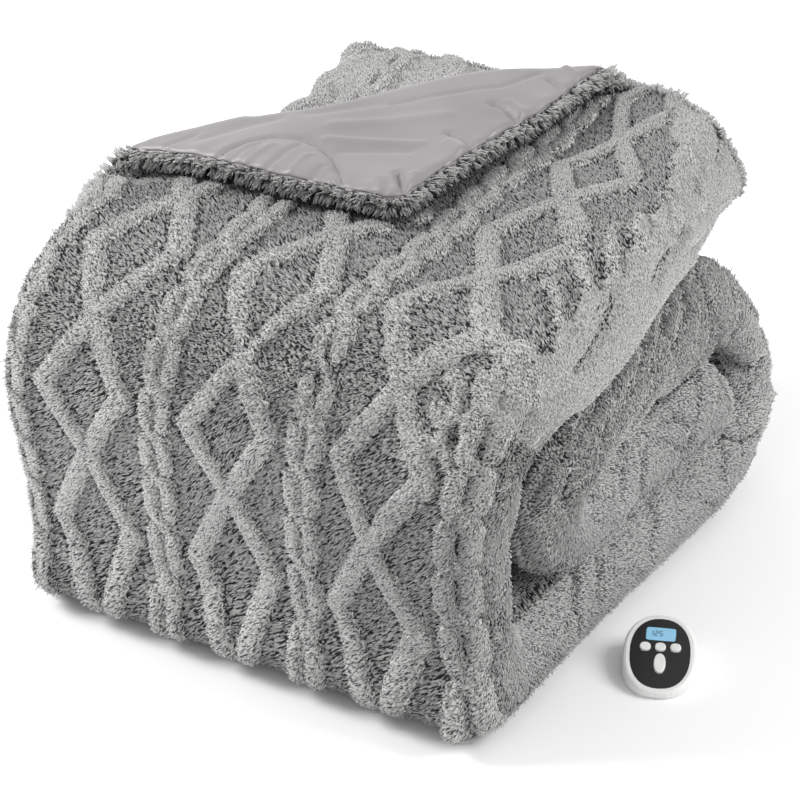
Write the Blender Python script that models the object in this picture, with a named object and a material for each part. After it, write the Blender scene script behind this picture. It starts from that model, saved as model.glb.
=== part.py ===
"""An electric heated blanket, folded in three across and rolled twice, with its hand controller.

Units are metres and +Z is up.  The folded pack stands on z = 0.  Its front, where the
strip of cloth runs down, faces -Y, and its side of rounded folds faces +X.
One closed solid is the whole blanket: every point of it is a point (u, v) of the flat
cloth, u across its width and v along its length, carried through the folds in turn.  The
satin that backs it is let into that solid where it shows, on the turned corner.
"""
import math

import bmesh
import bpy
import numpy as np
from mathutils import Matrix, Vector

# The cloth and the pack
PLY = 0.027  # one thickness of the cloth, with its pile
PLY_PITCH = 0.033  # from one ply to the next inside the strip
PACK_WIDTH = 0.53  # the strip, which is three plies across
LAYER_PITCH = 0.1005  # from one turn of the strip to the next
FRONT_Y = -0.300
BACK_Y = 0.335  # where the uppermost turn ends
HALF_STRIP = PLY_PITCH + PLY / 2
LAYER_Z = [HALF_STRIP + LAYER_PITCH * turn for turn in range(4)]

# The way of the strip's middle in the Y-Z plane: corner y, z and the radius of its turn
SPINE = (
    (BACK_Y, LAYER_Z[3], 0.0),
    (FRONT_Y + HALF_STRIP, LAYER_Z[3], 0.100),
    (FRONT_Y + HALF_STRIP, LAYER_Z[0], 0.060),
    (0.280, LAYER_Z[0], LAYER_PITCH),
    (0.280, LAYER_Z[2], LAYER_PITCH),
    (-0.150, LAYER_Z[2], LAYER_PITCH / 2),
    (-0.150, LAYER_Z[1], LAYER_PITCH / 2),
    (0.200, LAYER_Z[1], 0.0),
)
SPINE_STEP = 0.002
SPINE_EASE = 0.030  # the stiffness of the cloth eases each bend over this length

# The corner of the upper flap that is turned back, in the strip's own plane (x, s)
TURN_LEFT = (-0.318, 0.422)
TURN_RIGHT = (0.080, 0.020)
TURN_RADIUS = 0.0147
TURN_PULL = (-0.044, 0.055)  # how far that corner was drawn askew before it was turned
TURN_PULL_FROM = (0.100, 0.450)  # x and s from which the pull begins
TURN_PULL_OVER = 0.368
TURN_HANG = (0.540, 0.370)  # s where the free edge begins, and is full, over the side
TURN_SLIDE = 0.032  # how far the turned corner has slid down the front, at its left end
TURN_SLIDE_ALONG = (0.50, 0.05)
TURN_SLIDE_EASE = 0.060

# The raised pattern: columns of diamonds, with a plait between each two
COLUMN_PITCH = 0.160
DIAMOND_X = -0.020  # a diamond column on the front face
DIAMOND_CROSS_Z = 0.203  # where its bars cross on the front face
DIAMOND_REACH = 0.043
BAR_HALF = 0.0138  # measured across the cloth
NEAR_SHIFT = 0.013  # the plait on the near edge is drawn this far round it
NEAR_FROM = (0.145, 0.215)
RELIEF = 0.007
LOBE_PITCH = COLUMN_PITCH / 3
LOBE_LENGTH = 0.100
LOBE_HALF = 0.0093
LOBE_CROSS = (0.32, 0.66)  # the stretch of a lobe that crosses over
LOBE_SIDE = 0.0102
LOBE_SLOPE = 3.6  # a quarter of it is the slope at the middle of that stretch
SIDE_SHARE = 0.7  # the pattern is drawn out over the round side folds
FLOOR_FADE = (0.012, 0.045)  # the pattern is pressed flat below and full above

# Where the plush shows on the outside of the pack, as stretches of u and v
SHOW_EASE = (0.006, 0.012)
LOOP_COVERED = (1.56, 1.49)  # the back loop goes under the upper turn
BESIDE_CREASE = 0.020
UNDER_TURN = (0.004, -0.008)  # no pattern as deep as this under the turned corner, and full
UNPULL_ROUNDS = 4

# How the soft pack settles
TOE = 0.1065  # size of the lower front corner, which the weight squares
TOE_REACH = 0.36
TOE_FALL = 1.5
PACK_HEIGHT = 0.4
PACK_SIDE = 0.27
BACK_FROM = (0.05, 0.33)  # y over which the back eases in
CROWN = (0.009, 0.014)  # how far the front's left and the whole right sink
LIFT = 0.018  # the back's left stands up
LEAN = (0.014, 0.048, 0.020)  # out at the lower back, in at the upper back and front
SPREAD = 0.010
SKEW = (0.012, 0.075)  # the back ends askew, left and right
LUMP = 0.0028
LUMP_WAVES = (19, 17, 31, 23)
BULGE_WAVES = (21, 24, 18)

# Where the pack is fuller, or slacker, than its folds alone: x, y, z, reach, and the push there
FULLER = (
    ((-0.28, -0.25, 0.33), 0.20, (-0.011, -0.020, -0.013)),
    ((-0.05, -0.27, 0.36), 0.20, (-0.009, -0.012, -0.018)),
    ((0.17, -0.25, 0.34), 0.20, (0.004, 0.008, -0.001)),
    ((-0.26, 0.02, 0.38), 0.20, (0.011, 0.011, 0.002)),
    ((-0.10, 0.25, 0.40), 0.22, (0.001, 0.003, 0.014)),
    ((0.20, 0.28, 0.40), 0.20, (-0.015, 0.006, 0.028)),
    ((0.24, 0.05, 0.36), 0.20, (0.004, 0.013, 0.024)),
    ((0.25, -0.12, 0.30), 0.18, (0.015, -0.003, -0.019)),
    ((-0.25, 0.33, 0.40), 0.16, (-0.023, -0.011, 0.0)),
)

# The mesh
CLOTH_STEP = 0.0055
EDGE_STEPS = (0.0, 0.1, 0.35, 0.7, 1.0)
CLOTH_CORNER = 0.018
CLOTH_TRIANGLES = 7600

# The satin back, where it shows: a triangle at the cloth's corner, to beyond the crease
SATIN_THICK = 0.0020
SATIN_INSET = 0.0090
SATIN_SIDE = 0.440  # v at which it ends along the cloth's side
SATIN_END_X = 0.120  # x at which it ends along the cloth's free end
SATIN_ROWS = 28
SATIN_CLEAR = 0.0055  # its recess is cut from this far above the surface
SATIN_GAP = 0.0006

# The controller, in its own frame: its face looks along +Z, +Y is the display's end
CONTROL_AT = (0.3269, -0.0848)
CONTROL_TURN = math.radians(25.0)
CONTROL_TILT = math.radians(17.0)
BODY_SIZE = (0.0725, 0.0985)
BODY_FRONT = 0.0080  # height of the face's plane at the low end
BODY_SHOULDER = 0.0036  # how far the shell is wider than its top
BODY_RINGS = ((1.0, 0.0), (0.45, 0.0009), (0.12, 0.0028), (0.0, 0.0055))  # share of it, depth
BODY_FOOT = ((0.985, 0.0020), (0.955, 0.0))  # share of the width, height
PLATE_SIZE = (0.0580, 0.0845)
PLATE_THICK = 0.0020
PLATE_PROUD = 0.0006
DISPLAY_SIZE = (0.0290, 0.0160)
DISPLAY_Y = 0.0235
DISPLAY_TURN = math.radians(-2.0)
BUTTON_SIZE = (0.0108, 0.0102)
BUTTON_X = 0.0146
BUTTON_Y = 0.0068
KEY_SIZE = (0.0116, 0.0235)
KEY_Y = -0.0131
BUTTON_PROUD = 0.0022
BUTTON_TRAVEL = 0.0012
BUTTON_DEEP = 0.0050
CLEARANCE = 0.0004
GAP = 0.0003

# Lengths of cloth that follow from the sizes above
FLAT_RIGHT = PACK_WIDTH / 2 - PLY_PITCH - PLY / 2
FLAT_LEFT = PACK_WIDTH / 2 - PLY_PITCH / 2 - PLY / 2
TUCK = 0.004
U_FIRST = FLAT_RIGHT - TUCK + FLAT_LEFT
U_SMALL_FOLD = U_FIRST + math.pi * PLY_PITCH / 2
U_BASE = U_SMALL_FOLD + FLAT_LEFT + FLAT_RIGHT
U_BIG_FOLD = U_BASE + math.pi * PLY_PITCH
CLOTH_WIDTH = U_BIG_FOLD + FLAT_RIGHT + PACK_WIDTH / 2 + TUCK


def soft_step(low, high, value):
    t = np.clip((value - low) / (high - low), 0, 1)
    return t * t * (3 - 2 * t)


def bend_points(before, corner, after, radius):
    """The round of one corner of the spine, from the straight before it to the one after."""
    come = (corner - before) / np.linalg.norm(corner - before)
    leave = (after - corner) / np.linalg.norm(after - corner)
    turn = math.acos(float(np.clip(come @ leave, -1, 1)))
    radius = radius * 0.9995
    start = corner - come * radius * math.tan(turn / 2)
    side = leave - come * (come @ leave)
    side = side / np.linalg.norm(side)
    angles = np.linspace(0, turn, max(4, int(radius * turn / SPINE_STEP)) + 1)[:, None]
    return start + side * radius * (1 - np.cos(angles)) + come * radius * np.sin(angles)


def eased(values):
    reach = int(SPINE_EASE / SPINE_STEP)
    weights = np.hanning(2 * reach + 3)[1:-1]
    before = values[0] + (values[1] - values[0]) * np.arange(-reach, 0)
    after = values[-1] + (values[-1] - values[-2]) * np.arange(1, reach + 1)
    return np.convolve(np.r_[before, values, after], weights / weights.sum(), "valid")


def make_spine():
    """Length, y, z and heading along the middle of the strip, from its upper free end."""
    corners = [np.array(row[:2]) for row in SPINE]
    line = [corners[0][None]]
    for i in range(1, len(SPINE) - 1):
        line.append(bend_points(corners[i - 1], corners[i], corners[i + 1], SPINE[i][2]))
    line = np.concatenate(line + [corners[-1][None]])
    line = line[np.r_[True, np.linalg.norm(np.diff(line, axis=0), axis=1) > 1e-7]]
    run = np.r_[0, np.cumsum(np.linalg.norm(np.diff(line, axis=0), axis=1))]
    at = np.arange(0, run[-1], SPINE_STEP)
    y = eased(np.interp(at, run, line[:, 0]))
    z = eased(np.interp(at, run, line[:, 1]))
    length = np.r_[0, np.cumsum(np.hypot(np.diff(y), np.diff(z)))]
    heading = np.unwrap(np.arctan2(np.gradient(z, length), np.gradient(y, length)))
    return length, y, z, heading


SPINE_LENGTH, SPINE_Y, SPINE_Z, SPINE_HEADING = make_spine()
CLOTH_LENGTH = float(SPINE_LENGTH[-1])


def across(u, w):
    """Folds the width in three: x, and height n off the strip's middle.  w is towards the plush."""
    a_small = np.clip((u - U_FIRST) / (PLY_PITCH / 2), 0, math.pi)
    a_big = np.clip((u - U_BASE) / PLY_PITCH, 0, math.pi)
    first, base, upper = u <= U_FIRST, u <= U_BASE, u > U_BIG_FOLD
    small, big = u <= U_SMALL_FOLD, u <= U_BIG_FOLD
    choose = [first, small, base, big, upper]
    flat = np.zeros_like(u)
    x = np.select(choose, [
        FLAT_RIGHT - TUCK - u,
        -FLAT_LEFT - (PLY_PITCH / 2 + w) * np.sin(a_small),
        u - U_SMALL_FOLD - FLAT_LEFT,
        FLAT_RIGHT + (PLY_PITCH + w) * np.sin(a_big),
        FLAT_RIGHT - (u - U_BIG_FOLD)])
    n = np.select(choose, [
        flat + w,
        -PLY_PITCH / 2 + (PLY_PITCH / 2 + w) * np.cos(a_small),
        -PLY_PITCH - w,
        -(PLY_PITCH + w) * np.cos(a_big),
        PLY_PITCH + w])
    return x, n


def turn_distance(x, s):
    """How far (x, s) lies beyond the crease of the turned corner, and how far along it."""
    dx, ds = TURN_RIGHT[0] - TURN_LEFT[0], TURN_RIGHT[1] - TURN_LEFT[1]
    size = math.hypot(dx, ds)
    dx, ds = dx / size, ds / size
    rx, rs = x - TURN_LEFT[0], s - TURN_LEFT[1]
    return ds * rx - dx * rs, dx * rx + ds * rs, (dx, ds)


def pulled(x, s):
    """Where the draw askew takes a point of the upper flap."""
    share = np.clip((TURN_PULL_FROM[0] - x) / TURN_PULL_OVER, 0, 1)
    ahead = np.clip((TURN_PULL_FROM[1] - s) / TURN_PULL_FROM[1], 0, 1)
    return x + TURN_PULL[0] * share ** 2 * soft_step(*TURN_HANG, s), s + TURN_PULL[1] * ahead * share


def slid(along, beyond):
    """How far the turned corner has slid down the front, most at its left end."""
    return TURN_SLIDE * soft_step(*TURN_SLIDE_ALONG, along) * soft_step(-TURN_SLIDE_EASE, 0, beyond)


def under_turn(x, s):
    """How deep a point of the upper flap lies inside the outline of the corner turned over it."""
    x, s = pulled(x, s)
    beyond, along, (dx, ds) = turn_distance(x, s)
    s = s + slid(along, beyond) - slid(along, 0)
    across_crease = math.pi * TURN_RADIUS - 2 * turn_distance(x, s)[0]
    over_x, over_s = x + across_crease * ds, s - across_crease * dx
    flat_x, flat_s = over_x, over_s
    for _ in range(UNPULL_ROUNDS):
        again_x, again_s = pulled(flat_x, flat_s)
        flat_x, flat_s = flat_x + over_x - again_x, flat_s + over_s - again_s
    return np.where(beyond < 0, np.minimum(flat_x + PACK_WIDTH / 2, flat_s), -1.0)


def turned(x, s, n):
    """Turns the upper flap's corner back over the flap, satin up."""
    x, s = pulled(x, s)
    beyond, along, (dx, ds) = turn_distance(x, s)
    height = n - PLY_PITCH
    angle = np.clip(beyond / TURN_RADIUS, 0, math.pi)
    arm = TURN_RADIUS - height
    past = np.maximum(beyond - math.pi * TURN_RADIUS, 0)
    out = np.where(beyond <= 0, beyond, arm * np.sin(angle) - past)
    height = np.where(beyond <= 0, height, TURN_RADIUS - arm * np.cos(angle))
    x = TURN_LEFT[0] + along * dx + out * ds
    s = TURN_LEFT[1] + along * ds - out * dx + slid(along, beyond)
    return x, s, PLY_PITCH + height


def pushed_out(x, y, z):
    """Moves points towards where the pack is fuller, each push fading out over its reach."""
    moved = [x, y, z]
    for (at_x, at_y, at_z), reach, push in FULLER:
        away = np.sqrt((x - at_x) ** 2 + (y - at_y) ** 2 + (z - at_z) ** 2)
        share = soft_step(reach, 0, away)
        moved = [value + share * along for value, along in zip(moved, push)]
    return moved


def settled(x, y, z):
    """The pack under its own weight: a squared lower front, a crown and an uneven lean."""
    toe_y = FRONT_Y + TOE
    a = np.clip((toe_y - y) / TOE, 0, 1)
    b = np.clip((TOE - z) / TOE, 0, 1)
    r = np.hypot(a, b)
    push = TOE_REACH * 4 * a * a * b * b / np.maximum(r, 1e-6) ** 4 * np.clip(r, 0, 1) ** TOE_FALL
    y = y - a * TOE * push
    z = np.maximum(z - b * TOE * push, 0)
    up = np.clip(z / PACK_HEIGHT, 0, 1.2)
    free = soft_step(0.0, 0.10, z)
    right = np.clip(x / PACK_SIDE, 0, 1.1)
    left = np.clip(-x / PACK_SIDE, 0, 1.1)
    back = soft_step(*BACK_FROM, y)
    crown = CROWN[0] * left ** 3 * soft_step(0.20, -0.05, y) + CROWN[1] * right ** 4
    wave = np.sin(LUMP_WAVES[0] * x + 1.1) * np.sin(LUMP_WAVES[1] * y - 0.4)
    wave = wave + 0.6 * np.sin(LUMP_WAVES[2] * x - LUMP_WAVES[3] * y)
    z = z + free * (up ** 2 * (LIFT * back * left - crown) + LUMP * wave)
    lean = LEAN[0] * (1 - up) * soft_step(-0.1, 0.3, y) - LEAN[1] * up ** 2 * soft_step(0.0, 0.33, y)
    lean = lean - LEAN[2] * soft_step(-0.05, -0.25, y) * soft_step(0.0, 0.25, z)
    bulge = LUMP * np.sin(BULGE_WAVES[0] * y + BULGE_WAVES[1] * z)
    x = x + lean * right ** 1.5 + SPREAD * (1 - up) * left ** 2 + bulge * free
    skew = SKEW[0] * left * back - SKEW[1] * right ** 1.5 * soft_step(0.02, 0.33, y)
    pushed = LUMP * np.sin(BULGE_WAVES[2] * x + 1.7) * soft_step(0.02, 0.12, z)
    y = y + up ** 2 * skew + free * pushed
    return pushed_out(x, y, z)


def place(u, v, w):
    """World points of the cloth at u, v and height w off its middle, towards the plush."""
    x, n = across(u, w)
    flap = u > U_BIG_FOLD
    turned_x, turned_s, turned_n = turned(x, v, n)
    x = np.where(flap, turned_x, x)
    s = np.where(flap, turned_s, v)
    n = np.where(flap, turned_n, n)
    y = np.interp(s, SPINE_LENGTH, SPINE_Y) + np.maximum(-s, 0)
    z = np.interp(s, SPINE_LENGTH, SPINE_Z)
    heading = np.interp(s, SPINE_LENGTH, SPINE_HEADING)
    return np.stack(settled(x, y + n * np.sin(heading), z - n * np.cos(heading)), axis=-1)


def mound(distance, half):
    """A bar's rounded section."""
    return (1 - np.clip(np.abs(distance) / half, 0, 1) ** 3) ** 1.2


def front_cross():
    """Where along the cloth the diamonds cross on the front face."""
    front = (SPINE_Y < FRONT_Y + 2 * HALF_STRIP) & (SPINE_LENGTH < CLOTH_LENGTH / 2)
    return float(SPINE_LENGTH[np.argmin(np.abs(SPINE_Z - DIAMOND_CROSS_Z) + 9 * ~front)])


V_CROSS = front_cross()
CROSS_HEADING = float(np.interp(V_CROSS, SPINE_LENGTH, SPINE_HEADING))


def true_length(u, v):
    """Length along the outer face, which is longer than v where it goes round the shoulder."""
    _, n = across(u, np.full_like(u, PLY / 2))
    heading = np.interp(v, SPINE_LENGTH, SPINE_HEADING)
    return v + n * np.minimum(heading - CROSS_HEADING, 0)


def pattern(u, v):
    """Height of the raised bars, 0 to 1: diamonds, and two-strand plaits between them."""
    x = FLAT_RIGHT - (u - U_BIG_FOLD)
    x = x - NEAR_SHIFT * soft_step(*NEAR_FROM, x)
    v = true_length(u, v)
    from_diamond = (x - DIAMOND_X) / COLUMN_PITCH
    from_diamond = (from_diamond - np.round(from_diamond)) * COLUMN_PITCH
    cycle = (v - V_CROSS) / COLUMN_PITCH
    spread = DIAMOND_REACH * (1 - np.abs(2 * (cycle - np.floor(cycle)) - 1))
    height = np.maximum(mound(from_diamond - spread, BAR_HALF), mound(from_diamond + spread, BAR_HALF))
    from_plait = (x - DIAMOND_X) / COLUMN_PITCH - 0.5
    from_plait = (from_plait - np.round(from_plait)) * COLUMN_PITCH
    for earlier in (0, 1):
        along = np.mod(v, LOBE_PITCH) + earlier * LOBE_PITCH
        crossed = soft_step(*LOBE_CROSS, along / LOBE_LENGTH)
        slope = LOBE_SLOPE * crossed * (1 - crossed)
        end = np.maximum(LOBE_HALF - along, along - LOBE_LENGTH + LOBE_HALF)
        off = (from_plait - LOBE_SIDE * (2 * crossed - 1)) / np.sqrt(1 + slope ** 2)
        off = np.hypot(off, np.maximum(end, 0))
        height = np.maximum(height, mound(off, LOBE_HALF))
    return height


def showing(u, v):
    """1 where the plush shows on the outside of the pack, 0 where another ply lies on it."""
    x, _ = across(u, np.zeros_like(u))
    before, after = SHOW_EASE
    big = soft_step(U_BASE - before, U_BASE + after, u)
    big = big * soft_step(U_BIG_FOLD + before, U_BIG_FOLD - after, u)
    small = soft_step(U_FIRST - before, U_FIRST + after, u)
    small = small * soft_step(U_SMALL_FOLD + before, U_SMALL_FOLD - after, u)
    outside = (u > U_BIG_FOLD - after) * soft_step(*LOOP_COVERED, v)
    beyond, _, _ = turn_distance(x, v)
    outside = outside * np.where(u > U_BIG_FOLD, soft_step(0.0, -BESIDE_CREASE, beyond), 1)
    outside = outside * np.where(u > U_BIG_FOLD, soft_step(*UNDER_TURN, under_turn(x, v)), 1)
    bared = (u <= U_FIRST) * soft_step(0.0, BESIDE_CREASE, beyond)
    return np.maximum.reduce([SIDE_SHARE * big, small, outside, bared])


def plush(u, v, w):
    """The outer face of the cloth, with its pattern raised where it shows."""
    flat = place(u, v, w)
    raised = RELIEF * pattern(u, v) * showing(u, v) * soft_step(*FLOOR_FADE, flat[..., 2])
    return place(u, v, w + raised)


def half_thickness(u, v):
    """Half the cloth's thickness, which rounds off at its edge."""
    edge = np.minimum.reduce([u, CLOTH_WIDTH - u, v, CLOTH_LENGTH - v])
    depth = np.clip(1 - edge / (PLY / 2), 0, 1)
    return PLY / 2 * np.sqrt(np.clip(1 - depth * depth, 0, 1))


def rounded_corners(u, v):
    """Rounds the cloth's four corners: a square corner's points go to a quarter disc."""
    a = np.clip(np.abs(u - CLOTH_WIDTH / 2) - CLOTH_WIDTH / 2 + CLOTH_CORNER, 0, None) / CLOTH_CORNER
    b = np.clip(np.abs(v - CLOTH_LENGTH / 2) - CLOTH_LENGTH / 2 + CLOTH_CORNER, 0, None) / CLOTH_CORNER
    shift_u = a * (1 - np.sqrt(1 - b * b / 2)) * CLOTH_CORNER
    shift_v = b * (1 - np.sqrt(1 - a * a / 2)) * CLOTH_CORNER
    return u - np.sign(u - CLOTH_WIDTH / 2) * shift_u, v - np.sign(v - CLOTH_LENGTH / 2) * shift_v


def stations(length):
    """Steps across the cloth, closer at both edges, where its thickness rounds off."""
    edge = np.array(EDGE_STEPS) * PLY / 2
    inner = np.linspace(edge[-1], length - edge[-1], int((length - PLY) / CLOTH_STEP) + 1)
    return np.concatenate([edge[:-1], inner, length - edge[-2::-1]])


def material(name, colour, roughness, metallic=0.0):
    made = bpy.data.materials.new(name)
    made.use_nodes = True
    shader = made.node_tree.nodes["Principled BSDF"]
    shader.inputs["Base Color"].default_value = (*colour, 1.0)
    shader.inputs["Roughness"].default_value = roughness
    shader.inputs["Metallic"].default_value = metallic
    made.diffuse_color = (*colour, 1.0)
    return made


def add_object(name, mesh, made_of):
    obj = bpy.data.objects.new(name, mesh)
    bpy.context.scene.collection.objects.link(obj)
    mesh.materials.append(made_of)
    return obj


def cut_with(target, cutter):
    cutter.hide_render = True
    cutter.display_type = "WIRE"
    hole = target.modifiers.new(cutter.name, "BOOLEAN")
    hole.object = cutter
    hole.operation = "DIFFERENCE"
    hole.solver = "EXACT"


def cloth_mesh():
    """Both faces of the cloth on one grid, joined along its rounded edge."""
    u, v = np.meshgrid(stations(CLOTH_WIDTH), stations(CLOTH_LENGTH))
    rows, columns = u.shape
    half = half_thickness(u, v)
    u, v = rounded_corners(u, v)
    points = np.concatenate([plush(u, v, half).reshape(-1, 3), place(u, v, -half).reshape(-1, 3)])
    index = np.arange(rows * columns).reshape(rows, columns)
    under = index + rows * columns
    under[0], under[-1] = index[0], index[-1]
    under[:, 0], under[:, -1] = index[:, 0], index[:, -1]
    faces = []
    for grid, turn in ((index, 1), (under, -1)):
        quads = np.stack([grid[:-1, :-1], grid[:-1, 1:], grid[1:, 1:], grid[1:, :-1]], axis=-1)
        faces.extend(quads.reshape(-1, 4)[:, ::turn].tolist())
    return tidy_mesh("blanket", points.tolist(), faces)


def tidy_mesh(name, points, faces):
    """A mesh of triangles that face outwards, with no loose points."""
    mesh = bpy.data.meshes.new(name)
    mesh.from_pydata(points, [], faces)
    shaped = bmesh.new()
    shaped.from_mesh(mesh)
    loose = [vertex for vertex in shaped.verts if not vertex.link_faces]
    bmesh.ops.delete(shaped, geom=loose, context="VERTS")
    bmesh.ops.triangulate(shaped, faces=shaped.faces[:])
    bmesh.ops.recalc_face_normals(shaped, faces=shaped.faces[:])
    shaped.to_mesh(mesh)
    shaped.free()
    mesh.shade_smooth()
    return mesh


def satin_mesh(name, above, below, grow):
    """The triangle of satin in rows from its tip, from above the cloth's back to below it."""
    tip = np.array([CLOTH_WIDTH - SATIN_INSET + grow, SATIN_INSET - grow])
    side = np.array([tip[0], SATIN_SIDE + 2 * grow])
    end = np.array([U_BIG_FOLD + FLAT_RIGHT - SATIN_END_X - 2 * grow, tip[1]])
    spots = [(i, j) for i in range(SATIN_ROWS + 1) for j in range(i + 1)]
    steps = np.array(spots) / SATIN_ROWS
    flat = tip + np.outer(steps[:, 0] - steps[:, 1], side - tip) + np.outer(steps[:, 1], end - tip)
    half = half_thickness(*flat.T)
    u, v = rounded_corners(*flat.T)
    points = np.concatenate([place(u, v, -half - above), place(u, v, -half + below)])
    at = {spot: number for number, spot in enumerate(spots)}
    faces = []
    for i in range(SATIN_ROWS):
        for j in range(i + 1):
            faces.append((at[i, j], at[i + 1, j], at[i + 1, j + 1]))
            if j < i:
                faces.append((at[i, j], at[i + 1, j + 1], at[i, j + 1]))
    rows = range(SATIN_ROWS + 1)
    rim = [(i, 0) for i in rows] + [(SATIN_ROWS, j) for j in rows[1:]] + [(i, i) for i in rows[-2:0:-1]]
    count = len(spots)
    faces += [tuple(number + count for number in face[::-1]) for face in faces]
    for first, second in zip(rim, rim[1:] + rim[:1]):
        faces.append((at[first], at[second], at[second] + count, at[first] + count))
    return tidy_mesh(name, points.tolist(), faces)


def add_blanket(plush_grey, satin_grey):
    mesh = cloth_mesh()
    blanket = add_object("blanket", mesh, plush_grey)
    fewer = blanket.modifiers.new("fewer faces where it is flat", "DECIMATE")
    fewer.ratio = CLOTH_TRIANGLES / len(mesh.polygons)
    add_object("satin_back", satin_mesh("satin_back", 0.0, SATIN_THICK, 0.0), satin_grey)
    recess = satin_mesh("recess of satin_back", SATIN_CLEAR, SATIN_THICK + SATIN_GAP, SATIN_GAP)
    cut_with(blanket, add_object("recess of satin_back", recess, plush_grey))


def oval(size, steps=36, square=2.3):
    """A superellipse, run anticlockwise."""
    points = []
    for i in range(steps):
        c, s = math.cos(math.tau * i / steps), math.sin(math.tau * i / steps)
        x = math.copysign(abs(c) ** (2 / square), c) * size[0] / 2
        y = math.copysign(abs(s) ** (2 / square), s) * size[1] / 2
        points.append((x, y))
    return points


def loft(name, rings, made_of):
    """A closed solid through rings of equal count, from the lowest to the highest."""
    shaped = bmesh.new()
    loops = [[shaped.verts.new(point) for point in ring] for ring in rings]
    count = len(rings[0])
    shaped.faces.new(loops[0][::-1])
    shaped.faces.new(loops[-1])
    for lower, upper in zip(loops, loops[1:]):
        for i in range(count):
            j = (i + 1) % count
            shaped.faces.new((lower[i], lower[j], upper[j], upper[i]))
    mesh = bpy.data.meshes.new(name)
    shaped.to_mesh(mesh)
    shaped.free()
    mesh.shade_smooth()
    mesh.set_sharp_from_angle(angle=math.radians(40))
    return add_object(name, mesh, made_of)


def domed(name, outline, low, high, rounding, made_of):
    """A prism whose upper edge is rounded in three steps."""
    rings = [[(x, y, low) for x, y in outline]]
    wide = max(x for x, _ in outline)
    tall = max(y for _, y in outline)
    for turn in (0, 30, 60, 90):
        inset = rounding * (1 - math.cos(math.radians(turn)))
        z = high - rounding + rounding * math.sin(math.radians(turn))
        kept_x, kept_y = 1 - inset / wide, 1 - inset / tall
        rings.append([(x * kept_x, y * kept_y, z) for x, y in outline])
    return loft(name, rings, made_of)


def face_frame():
    """From the controller's face, at its middle, to the world."""
    height = BODY_FRONT + BODY_SIZE[1] / 2 * math.sin(CONTROL_TILT)
    place_at = Matrix.Translation((CONTROL_AT[0], CONTROL_AT[1], height))
    return place_at @ Matrix.Rotation(CONTROL_TURN, 4, "Z") @ Matrix.Rotation(CONTROL_TILT, 4, "X")


def cut(target, name, outline, at, low, high, turn=0.0):
    """Cuts a prism out of the target; both stand in the face's frame."""
    cutter = loft(name, [[(x, y, low) for x, y in outline], [(x, y, high) for x, y in outline]],
                  target.data.materials[0])
    cutter.matrix_world = face_frame() @ Matrix.Translation((*at, 0)) @ Matrix.Rotation(turn, 4, "Z")
    cut_with(target, cutter)


def wider(size, by):
    return size[0] + 2 * by, size[1] + 2 * by


def controls():
    """Name, size and place on the face of each thing that is pressed."""
    return (
        ("button_left", BUTTON_SIZE, (-BUTTON_X, BUTTON_Y)),
        ("button_middle", BUTTON_SIZE, (0.0, BUTTON_Y)),
        ("button_right", BUTTON_SIZE, (BUTTON_X, BUTTON_Y)),
        ("key_long", KEY_SIZE, (0.0, KEY_Y)),
    )


def add_controller_body(white):
    """The white shell: a low wedge whose rim is rounded and whose base is flat on the floor."""
    frame = face_frame()
    outline = oval(BODY_SIZE)
    rings = []
    for share, depth in BODY_RINGS:
        kept = [1 - share * BODY_SHOULDER / (side / 2) for side in BODY_SIZE]
        rings.append([frame @ Vector((x * kept[0], y * kept[1], -depth)) for x, y in outline])
    wall = rings[-1]
    centre = sum(wall, Vector()) / len(wall)
    for share, height in BODY_FOOT:
        rings.append([Vector((*(centre + (point - centre) * share).xy, height)) for point in wall])
    body = loft("controller_body", rings[::-1], white)
    pocket = oval(wider(PLATE_SIZE, GAP))
    cut(body, "pocket for the plate", pocket, (0, 0), -PLATE_THICK, 0.01)
    well = -BUTTON_DEEP - BUTTON_TRAVEL - CLEARANCE
    for name, size, at in controls():
        cut(body, "well of " + name, oval(wider(size, CLEARANCE), 20), at, well, 0.01)


def add_controller_face(black, screen):
    """The black plate, and the display window let into it."""
    low, high = -PLATE_THICK + GAP, PLATE_PROUD
    plate = domed("controller_face", oval(PLATE_SIZE), low, high, 0.0005, black)
    plate.matrix_world = face_frame()
    for name, size, at in controls():
        cut(plate, "hole of " + name, oval(wider(size, CLEARANCE), 20), at, -0.01, 0.01)
    window = oval(wider(DISPLAY_SIZE, GAP), 24, 9)
    cut(plate, "hole of display", window, (0, DISPLAY_Y), -0.01, 0.01, DISPLAY_TURN)
    pane = domed("controller_display", oval(DISPLAY_SIZE, 24, 9), low, high - GAP, 0.0003, screen)
    pane.matrix_world = face_frame() @ Matrix.Translation((0, DISPLAY_Y, 0)) \
        @ Matrix.Rotation(DISPLAY_TURN, 4, "Z")


def add_controls(white):
    """Three round buttons and a long key, each of which is pressed straight into the face."""
    for name, size, at in controls():
        top = PLATE_PROUD + BUTTON_PROUD
        pressed = domed(name, oval(size, 20, 2.2), -BUTTON_DEEP, top, 0.0012, white)
        pressed.matrix_world = face_frame() @ Matrix.Translation((*at, 0))


def build():
    for old in list(bpy.data.objects):
        bpy.data.objects.remove(old)
    add_blanket(material("plush", (0.34, 0.33, 0.33), 0.95), material("satin", (0.36, 0.34, 0.35), 0.45))
    shell = material("white shell", (0.86, 0.86, 0.85), 0.35)
    add_controller_body(shell)
    add_controller_face(material("black face", (0.015, 0.015, 0.017), 0.22),
                        material("display", (0.36, 0.66, 0.86), 0.15))
    add_controls(material("white keys", (0.84, 0.84, 0.83), 0.40))


build()
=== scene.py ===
"""The looks of an electric heated blanket, folded and rolled, with its hand controller.

Units are metres.  The cloth is carried through its folds by the same rule and sizes as the
solid that it stands for: u runs across the flat cloth's width and v along its length.  On
that surface stand some 180,000 small tufts of pile.  The satin is a sheet of its own on the
turned corner.
"""
import math
from collections import namedtuple

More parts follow.
